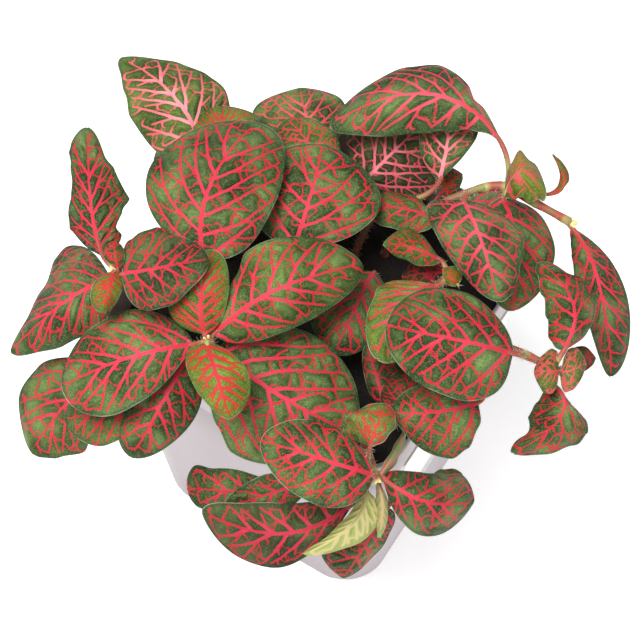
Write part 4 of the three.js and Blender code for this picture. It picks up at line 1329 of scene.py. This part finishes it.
def blade_fields(flat, veins, pieces):
    """At each flat point: vein depth and girth, and ways to the margin and a stout vein."""
    spots = flat.reshape(-1, 2)
    depth, girth = nearest_vein(spots, pieces)
    ring = np.concatenate([veins.margin, veins.margin[:1]])
    walls = np.concatenate([ring[:-1], ring[1:], np.zeros((len(ring) - 1, 2))], axis=1)
    rim = -nearest_vein(spots, walls)[0]
    main = -nearest_vein(spots, pieces[pieces[:, 4] > STOUT_VEIN * veins.girth])[0]
    return [field.reshape(flat.shape[:2]) for field in (depth, girth, rim, main)]


def quads(number, turned=False):
    """The corner numbers of every cell of a grid, turned over for the underside."""
    corners = [number[:-1, :-1], number[1:, :-1], number[1:, 1:], number[:-1, 1:]]
    return np.stack(corners[::-1] if turned else corners, -1).reshape(-1, 4).tolist()


def around(number):
    """The numbers along a grid's outline."""
    sides = [number[:-1, 0], number[-1, :-1], number[:0:-1, -1], number[0, :0:-1]]
    return np.concatenate(sides).tolist()


def closed_faces(rows, columns, step):
    """Faces of a fine upper grid, of a coarser lower one and of the wall between them."""
    upper = np.arange(rows * columns).reshape(rows, columns)
    shape = upper[::step, ::step].shape
    lower = np.arange(shape[0] * shape[1]).reshape(shape) + rows * columns
    faces = quads(upper) + quads(lower, turned=True)
    fine, coarse = around(upper), around(lower)
    half = (step + 1) // 2
    for i, a in enumerate(coarse):
        b = coarse[(i + 1) % len(coarse)]
        row = [fine[(i * step + k) % len(fine)] for k in range(step + 1)]
        for k in range(step):
            faces.append([row[k], a if k < half else b, row[k + 1]])
        faces.append([row[half], a, b])
    return faces


print("a blade of 7 by 7 points has", len(closed_faces(7, 7, BACK_STEP)), "faces")


# %% Build one blade
def build_blade(leaf, seed):
    """Points, faces, attribute values and flat map of one closed blade."""
    blade = Blade(leaf)
    step = 1 if leaf.get("fine_back") else BACK_STEP
    u, v = sheet_grid(blade, step)
    flat = blade.flat_place(u, v) / MM
    veins = VeinNet(blade, seed, leaf.get("youth", 0) > 0.5)
    depth, girth, rim, main = blade_fields(flat, veins, veins.fill())

    scale = min(1.0, blade.length / PUFF_LENGTH)
    inner = smooth(0.0, INNER, rim)
    puff = smooth(0.0, FIELD * scale, main) * inner
    on_vein = smooth(-0.25, 0.15, depth) * smooth(0.15, 0.7, girth) * inner
    top_lift = EDGE + (UPPER - EDGE) * inner + scale * (PUCKER * puff - GROOVE * on_vein)
    back_lift = EDGE + (LOWER - EDGE) * inner - scale * 0.7 * PUCKER * puff + RIB * on_vein
    sheet = blade.sheet(u, v)
    normal = sheet_normals(sheet, blade.normal)
    top = sheet + normal * top_lift[..., None]
    back = sheet - normal * back_lift[..., None]

    def both(upper, lower):
        """The values of the fine upper grid, then those of the coarser lower one."""
        fields = (upper, lower[::step, ::step])
        return np.concatenate([field.reshape(-1, *upper.shape[2:]) for field in fields])

    points = both(top, back)
    values = {"vein": both(depth, depth), "girth": both(girth, girth), "rim": both(rim, rim)}
    turned = np.full(u.shape, float(leaf.get("turned", False)))
    values["side"] = both(turned, 1 - turned)
    for name, usual in USUAL.items():
        values[name] = np.full(len(points), float(leaf.get(name, usual)))
    return points, closed_faces(*u.shape, step), values, both(flat, flat)


points, faces, values, maps = build_blade(SHOOTS["shoot_left"]["leaves"][2], 5)
print("the small reddish leaf has", len(faces), "faces")

# %% [markdown]
# All the blades of one stem are one piece, as in the CAD. Their numbers are stored on the
# points. Each piece also gets a flat map on which every blade's two sides lie pressed flat
# in shelves, so that a baked picture keeps the fine veins.

# %% Join the blades of one stem
MAP_NAME = "OFBake"
MAP_GAP = 1.0


def shelves(sizes, width):
    """Lower left corners of boxes that stand in rows no wider than width, and the height."""
    corners = [None] * len(sizes)
    x = y = row = 0.0
    for i in sorted(range(len(sizes)), key=lambda i: -sizes[i][1]):
        wide, high = sizes[i]
        if x + wide > width and x > 0:
            x, y, row = 0.0, y + row, 0.0
        corners[i] = (x, y)
        x += wide
        row = max(row, high)
    return corners, y + row


def flat_maps(islands):
    """Puts islands, each an array of flat places in mm, side by side in a unit square."""
    sizes = [tuple(np.ptp(island, axis=0) + MAP_GAP) for island in islands]
    side = math.sqrt(sum(w * h for w, h in sizes))
    side = max(side, *(w for w, _ in sizes))
    while shelves(sizes, side)[1] > side:
        side *= 1.03
    corners, _ = shelves(sizes, side)
    return [
        (island - island.min(0) + MAP_GAP / 2 + corner) / side
        for island, corner in zip(islands, corners)
    ]


def column(items, key):
    """One whole number of every item of a mesh, as an array."""
    found = np.empty(len(items), dtype=np.int32)
    items.foreach_get(key, found)
    return found


def add_flat_map(piece, maps, sides):
    """Lays both sides of every leaf out on the piece's flat map."""
    corners = column(piece.data.loops, "vertex_index")
    starts = column(piece.data.polygons, "loop_start")
    sizes = column(piece.data.polygons, "loop_total")
    leaf_of = np.repeat(np.arange(len(maps)), [len(spots) for spots in maps])
    is_back = np.add.reduceat(sides[corners], starts) >= sizes - 0.5
    island_of = leaf_of[corners] * 2 + np.repeat(is_back, sizes)
    spots = np.concatenate(maps)[corners]
    packed = flat_maps([spots[island_of == k] for k in range(2 * len(maps))])
    for k, island in enumerate(packed):
        spots[island_of == k] = island
    layer = piece.data.uv_layers.new(name=MAP_NAME)
    layer.data.foreach_set("uv", spots.astype(np.float32).ravel())


def blades_of(name, leaves, seed):
    """One piece from all the leaves of a stem, with their numbers and its flat map."""
    built = [build_blade(leaf, seed * 100 + i) for i, leaf in enumerate(leaves)]
    points, faces, values, maps = zip(*built)
    piece = join_copies(name, zip(points, faces))
    for key in NUMBERS:
        add_number(piece, key, np.concatenate([some[key] for some in values]))
    add_flat_map(piece, maps, np.concatenate([some["side"] for some in values]))
    return piece


print("blades of one stem are joined by blades_of")

# %% [markdown]
# ## The finish of the leaves
# A blade is velvety green in soft clouds of dark and light, and a little lighter in the
# middle of each small field, partly its own tone and partly painted light on the raised
# field with painted shade in the grooves by the veins. Its light flecks are partly pale
# hairs and partly painted glints. It has a dark border and a thin pale rim. The veins are
# crimson, and pinker where they are stout. Young leaves are yellow-green, undersides are
# pale, and painted shade darkens the leaves that lie deep in the plant, under others.


# %% Leaf
def leaf_look(tree):
    """The colours of both sides, from the numbers that the points carry."""
    vein, girth, rim = (attribute(tree, name) for name in ("vein", "girth", "rim"))
    side, youth = attribute(tree, "side"), attribute(tree, "youth")
    pink, dusk = attribute(tree, "pink"), attribute(tree, "dusk")
    fray = speckle(tree, 0.7 * MM, 2) - 0.5
    broad = speckle(tree, 12 * MM, 2, 0.5)
    grain = speckle(tree, 0.42 * MM, 3, 0.7)

    depth = vein + fray * 0.22
    on_vein = depth.ramp(-0.08, 0.1)
    field = (0 - vein + fray * 0.4).ramp(-0.1, 1.7)

    dark = blend(tree, youth, paint(18, 36, 14), paint(76, 96, 22))
    light = blend(tree, youth, paint(114, 138, 80), paint(132, 152, 50))
    # the field share lightens the middle of each field: partly the leaf's own tone, partly painted
    # light on the raised field and painted shade in the grooves by the veins
    green = blend(tree, 0.16 * field + 0.84 * broad.ramp(0.31, 0.85), dark, light)
    border = (0 - rim).ramp(-1.5, -0.35) * (1 - 0.6 * youth)
    green = blend(tree, border * 0.6, green, paint(38, 58, 32))
    # light flecks: partly the pale velvet hairs, partly painted glints
    green = blend(tree, grain.ramp(0.5, 0.74) * 0.5, green, paint(146, 164, 116))
    green = blend(tree, (1 - grain).ramp(0.48, 0.7) * 0.6, green, paint(22, 34, 16))
    # painted shade: leaves that lie deep under others are darkened towards a dim green
    green = blend(tree, dusk * 0.75, green, paint(26, 32, 18))

    stout = girth.ramp(0.22, 0.62) * (1 - 0.55 * girth.ramp(0.56, 0.7))
    red = blend(tree, youth, paint(196, 22, 48), paint(180, 34, 30))
    rose = blend(tree, pink.ramp(0.6, 1.0), paint(208, 70, 94), paint(240, 142, 152))
    red = blend(tree, pink.ramp(0.55, 1.0) * 0.5, red, paint(232, 104, 116))
    flush = stout * (0.3 + 0.7 * pink) * (0.5 + broad)
    vein_colour = blend(tree, flush, red, rose)
    vein_colour = blend(tree, grain.ramp(0.5, 0.8) * 0.25, vein_colour, paint(232, 104, 116))
    upper = blend(tree, on_vein * (0.8 + 0.2 * stout), green, vein_colour)

    pale_green = blend(tree, youth, paint(116, 130, 88), paint(162, 170, 94))
    pale_green = blend(tree, broad * 0.4, pale_green, paint(134, 150, 84))
    pale_vein = blend(tree, youth, paint(176, 100, 96), paint(204, 186, 138))
    under = blend(tree, vein.ramp(-0.3, 0.12) * 0.7, pale_green, pale_vein)

    colour = blend(tree, side, upper, under)
    rim_line = (0 - rim).ramp(-0.24, -0.06) * broad.ramp(0.35, 0.65)
    colour = blend(tree, rim_line * 0.55, colour, paint(190, 198, 176))
    # more painted shade on those deep leaves, towards a dark red-brown, over veins and green alike
    colour = blend(tree, dusk * 0.4, colour, paint(56, 16, 18))
    height = grain * 0.5 + field * 3.8 * (1 - 2 * side)
    return {
        "Base Color": colour,
        "Roughness": 0.5 + 0.16 * grain,
        "Normal": relief(tree, height, 0.12 * MM),
    }


leaf_finish = finish_of("leaf_velvet", leaf_look, Specular_IOR_Level=0.15)
print("leaf finish has", len(leaf_finish.node_tree.nodes), "nodes")

# %% Make the blades of every stem
for seed, (name, shoot) in enumerate(SHOOTS.items()):
    piece = blades_of(name.replace("shoot", "leaves"), shoot["leaves"], seed + 1)
    piece.data.materials.append(leaf_finish)
    hand_over(piece, "leaf", name)

# %% [markdown]
# ## Stems and leaf stalks
# Under the leaves each shoot is a soft, hairy stem, reddish brown below and green above. A
# stalk leaves it for every blade and runs on under the blade as its raised midrib. By hand
# these are curves with a round bevel. Here a ring of points is carried along the curve
# by code, which lets every tube swell at its joints and close at both ends.

# %% Curves and tubes
ROOT_DEPTH = 12 * MM
STALK_RADIUS = 0.95 * MM
STEM_SIDES = 10
STALK_SIDES = 8


def smooth_path(places, count):
    """A curve through the places, as the CAD draws it: centripetal Catmull-Rom."""
    p = [np.asarray(q, float) for q in places]
    p = [2 * p[0] - p[1]] + p + [2 * p[-1] - p[-2]]
    found = []
    for t in np.linspace(0, len(p) - 3, count):
        i = min(int(t), len(p) - 4)
        a, b, c, d = p[i : i + 4]
        w = t - i
        k = [max(np.linalg.norm(y - x) ** 0.5, 1e-6) for x, y in ((a, b), (b, c), (c, d))]
        m1 = k[1] * ((b - a) / k[0] - (c - a) / (k[0] + k[1]) + (c - b) / k[1])
        m2 = k[1] * ((c - b) / k[1] - (d - b) / (k[1] + k[2]) + (d - c) / k[2])
        found.append(
            (2 * w**3 - 3 * w**2 + 1) * b + (w**3 - 2 * w**2 + w) * m1
            + (3 * w**2 - 2 * w**3) * c + (w**3 - w**2) * m2
        )
    return np.array(found)


def point_on(path, share):
    """The place at this share of the path's pieces, and the direction there."""
    t = share * (len(path) - 1)
    i = min(int(t), len(path) - 2)
    return path[i] + (path[i + 1] - path[i]) * (t - i), unit(path[i + 1] - path[i])


def tube(path, radii, sides):
    """Points and faces of a closed round tube along a path."""
    points, faces = [], []
    along = unit(path[1] - path[0])
    side = unit(np.cross(along, [0.31, 0.77, 0.55]))
    for i, centre in enumerate(path):
        ahead = path[min(i + 1, len(path) - 1)] - path[max(i - 1, 0)]
        along = unit(ahead)
        side = unit(side - along * (side @ along))
        other = np.cross(along, side)
        for k in range(sides):
            angle = 2 * math.pi * k / sides
            out = math.cos(angle) * side + math.sin(angle) * other
            points.append(centre + radii[i] * out)
    for i in range(len(path) - 1):
        for k in range(sides):
            a, b = i * sides + k, i * sides + (k + 1) % sides
            faces.append([a, b, b + sides, a + sides])
    faces.append(list(range(sides))[::-1])
    last = (len(path) - 1) * sides
    faces.append([last + k for k in range(sides)])
    return points, faces


print("tubes have", STEM_SIDES, "and", STALK_SIDES, "sides")

# %% [markdown]
# The hairs are needles of four faces, about a millimetre long. They stand out all round the
# stem and the stalks, each leaning a little along it.

# %% Hairs
HAIR_LENGTH = (0.7 * MM, 1.7 * MM)
HAIR_RADIUS = 0.06 * MM
HAIR_ROOT = 0.1 * MM
HAIR_CORNERS = (0, 2.094, 4.189)


def hair(foot, direction, length):
    """One hair: a needle with three sides, its foot sunk in the skin."""
    side = unit(np.cross(direction, [0.2, 0.5, 0.84]))
    other = np.cross(direction, side)
    ring = [
        foot - direction * HAIR_ROOT
        + HAIR_RADIUS * (math.cos(a) * side + math.sin(a) * other)
        for a in HAIR_CORNERS
    ]
    return ring + [foot + direction * length], [[0, 1, 3], [1, 2, 3], [2, 0, 3], [2, 1, 0]]


def hairs_along(path, radii, spacing, chance):
    """Hairs that stand out all round a tube."""
    made = []
    gaps = np.linalg.norm(np.diff(path, axis=0), axis=1)
    for i, gap in enumerate(gaps):
        for _ in range(int(gap / spacing + chance.random())):
            w = chance.random()
            along = unit(path[i + 1] - path[i])
            out = unit(np.cross(along, [chance.gauss(0, 1) for _ in range(3)]))
            radius = radii[i] + (radii[i + 1] - radii[i]) * w
            foot = path[i] + (path[i + 1] - path[i]) * w + out * radius
            direction = unit(out + along * chance.uniform(-0.1, 0.5))
            made.append(hair(foot, direction, chance.uniform(*HAIR_LENGTH)))
    return made


some_hairs = hairs_along(np.eye(3) * MM, [MM] * 3, 0.1 * MM, random.Random(1))
print("a short tube gets", len(some_hairs), "hairs")

# %% Build the stem of one shoot
STEM_POINTS = 40
STALK_POINTS = 16
RIB_POINTS = 9
RIB_END = 0.62
STEM_TAPER = 0.78
LAST_JOINT = 0.97
JOINT_SWELL = 0.28 * MM
JOINT_REACH = 0.035
JOINT_COLOUR_REACH = 0.04
JOINT_GREEN = 0.8
FIRST_HAIRY = 8
STEM_HAIR_GAP = 0.28 * MM
STALK_HAIR_GAP = 0.24 * MM
STALK_ENDS = (1.05, 0.8)
RIB_ENDS = (0.7, 0.12)
RIB_DEPTH = 0.05 * MM
STALK_GREEN, RIB_GREEN, YOUNG_RIB_GREEN = 0.85, 0.3, 0.75
BUD_GREEN, HAIR_TONE = 1.15, 2.0
BUD_LENGTH = 2.6 * MM
BUD_RADIUS = 0.75 * MM
BUD_TURNS = (0, 2, 4)
BUD_SHAPE = np.array([0.4, 0.85, 1.0, 0.95, 0.75, 0.45, 0.12])


def bezier(a, b, c, d, count):
    """A curve from a to d that leaves towards b and comes in from c."""
    t = np.linspace(0, 1, count)[:, None]
    return (1 - t) ** 3 * a + 3 * t * (1 - t) ** 2 * b + 3 * t**2 * (1 - t) * c + t**3 * d


def stalk_of(leaf, path):
    """A leaf's stalk and the raised midrib under its blade: places, radii and greenness."""
    blade = Blade(leaf)
    size = min(1.0, 0.55 + blade.length / (60 * MM))
    stout = np.linspace(*STALK_ENDS, STALK_POINTS) * STALK_RADIUS * size
    slim = np.linspace(*RIB_ENDS, RIB_POINTS) * STALK_RADIUS * size
    start, _ = point_on(path, leaf.get("joint", LAST_JOINT))
    reach = np.linalg.norm(blade.base - start)
    control = blade.base - 0.4 * reach * unit(blade.control - blade.base)
    stalk = bezier(start, control, blade.base, blade.rib(0.05), STALK_POINTS)
    sink = np.linspace(0, 1, STALK_POINTS) ** 3 * stout
    stalk = stalk - sink[:, None] * blade.normal
    under = blade.rib(np.linspace(0.09, RIB_END, RIB_POINTS))
    under = under - (slim[:, None] + RIB_DEPTH) * blade.normal
    rib_green = YOUNG_RIB_GREEN if leaf.get("youth", 0) > 0.9 else RIB_GREEN
    green = np.linspace(STALK_GREEN, rib_green, STALK_POINTS)
    green = np.append(green, [rib_green] * RIB_POINTS)
    return np.concatenate([stalk, under]), np.concatenate([stout, slim]), green


def stem_of(name, shoot, seed):
    """One piece: a stem with its joints, end buds, leaf stalks and hairs."""
    chance = random.Random(seed)
    x, y = shoot["root"]
    top = SOIL_TOP / MM
    foot = [at(x, y, top - ROOT_DEPTH / MM), at(x, y, top - 3), at(x, y, top + 6)]
    path = smooth_path(foot + [place(p) for p in shoot["path"]], STEM_POINTS)
    radii = np.linspace(1.0, STEM_TAPER, STEM_POINTS) * STEM_RADIUS
    spots = sorted({leaf.get("joint", LAST_JOINT) for leaf in shoot["leaves"]})
    share = np.linspace(0, 1, STEM_POINTS)
    for spot in spots:
        radii = radii + JOINT_SWELL * np.exp(-(((share - spot) / JOINT_REACH) ** 2))
    near = [np.exp(-(((share - spot) / JOINT_COLOUR_REACH) ** 2)) for spot in spots]
    parts = [tube(path, radii, STEM_SIDES)]
    tones = [np.repeat(JOINT_GREEN * np.max(near, 0), STEM_SIDES)]
    tip, ahead = point_on(path, 1)
    for turn in BUD_TURNS:
        lean = np.array([math.cos(turn), math.sin(turn), 0.3])
        steps = np.linspace(0, BUD_LENGTH, len(BUD_SHAPE))[:, None]
        bud = tip + steps * unit(ahead + 0.5 * lean)
        parts.append(tube(bud, BUD_RADIUS * BUD_SHAPE, STALK_SIDES))
        tones.append(BUD_GREEN)
    bare = slice(FIRST_HAIRY, None)
    hairs = hairs_along(path[bare], radii[bare], STEM_HAIR_GAP, chance)
    for leaf in shoot["leaves"]:
        whole, thick, green = stalk_of(leaf, path)
        parts.append(tube(whole, thick, STALK_SIDES))
        tones.append(np.repeat(green, STALK_SIDES))
        hairs += hairs_along(whole[:STALK_POINTS], thick, STALK_HAIR_GAP, chance)
    parts += hairs
    tones += [HAIR_TONE] * len(hairs)
    piece = join_copies(name, parts)
    tones = [np.broadcast_to(tone, len(part[0])) for tone, part in zip(tones, parts)]
    add_number(piece, "tone", np.concatenate(tones))
    print(name, "has", len(hairs), "hairs")
    return piece


# %% [markdown]
# The stem's skin is reddish brown at the soil and lighter higher up, and green where a
# stalk leaves it. Faint red streaks run along it, and its hairs are nearly white.


# %% Stem
def stem_look(tree):
    tone = attribute(tree, "tone")
    where = node(tree, "ShaderNodeTexCoord", output="Object")
    height = node(tree, "ShaderNodeSeparateXYZ", None, [where], output="Z")
    high = height.ramp(112 * MM, 165 * MM)
    streak = speckle(tree, 1.2 * MM, 3, 0.6, (1, 1, 0.2))
    skin = blend(tree, high, paint(108, 62, 44), paint(134, 104, 66))
    skin = blend(tree, tone.ramp(0.1, 0.3), skin, paint(158, 76, 58))
    skin = blend(tree, tone.ramp(0.5, 0.85), skin, paint(164, 172, 100))
    skin = blend(tree, streak.ramp(0.48, 0.72) * 0.45, skin, paint(172, 70, 62))
    skin = blend(tree, tone.ramp(1.0, 1.1), skin, paint(224, 212, 138))
    colour = blend(tree, tone.ramp(1.3, 1.7), skin, paint(222, 214, 198))
    return {"Base Color": colour, "Roughness": 0.5 + 0.15 * streak}


stem_finish = finish_of("stem_skin", stem_look)
for seed, (name, shoot) in enumerate(SHOOTS.items()):
    piece = stem_of(name.replace("shoot", "stem"), shoot, seed + 50)
    piece.data.materials.append(stem_finish)
    hand_over(piece, "stem", name)
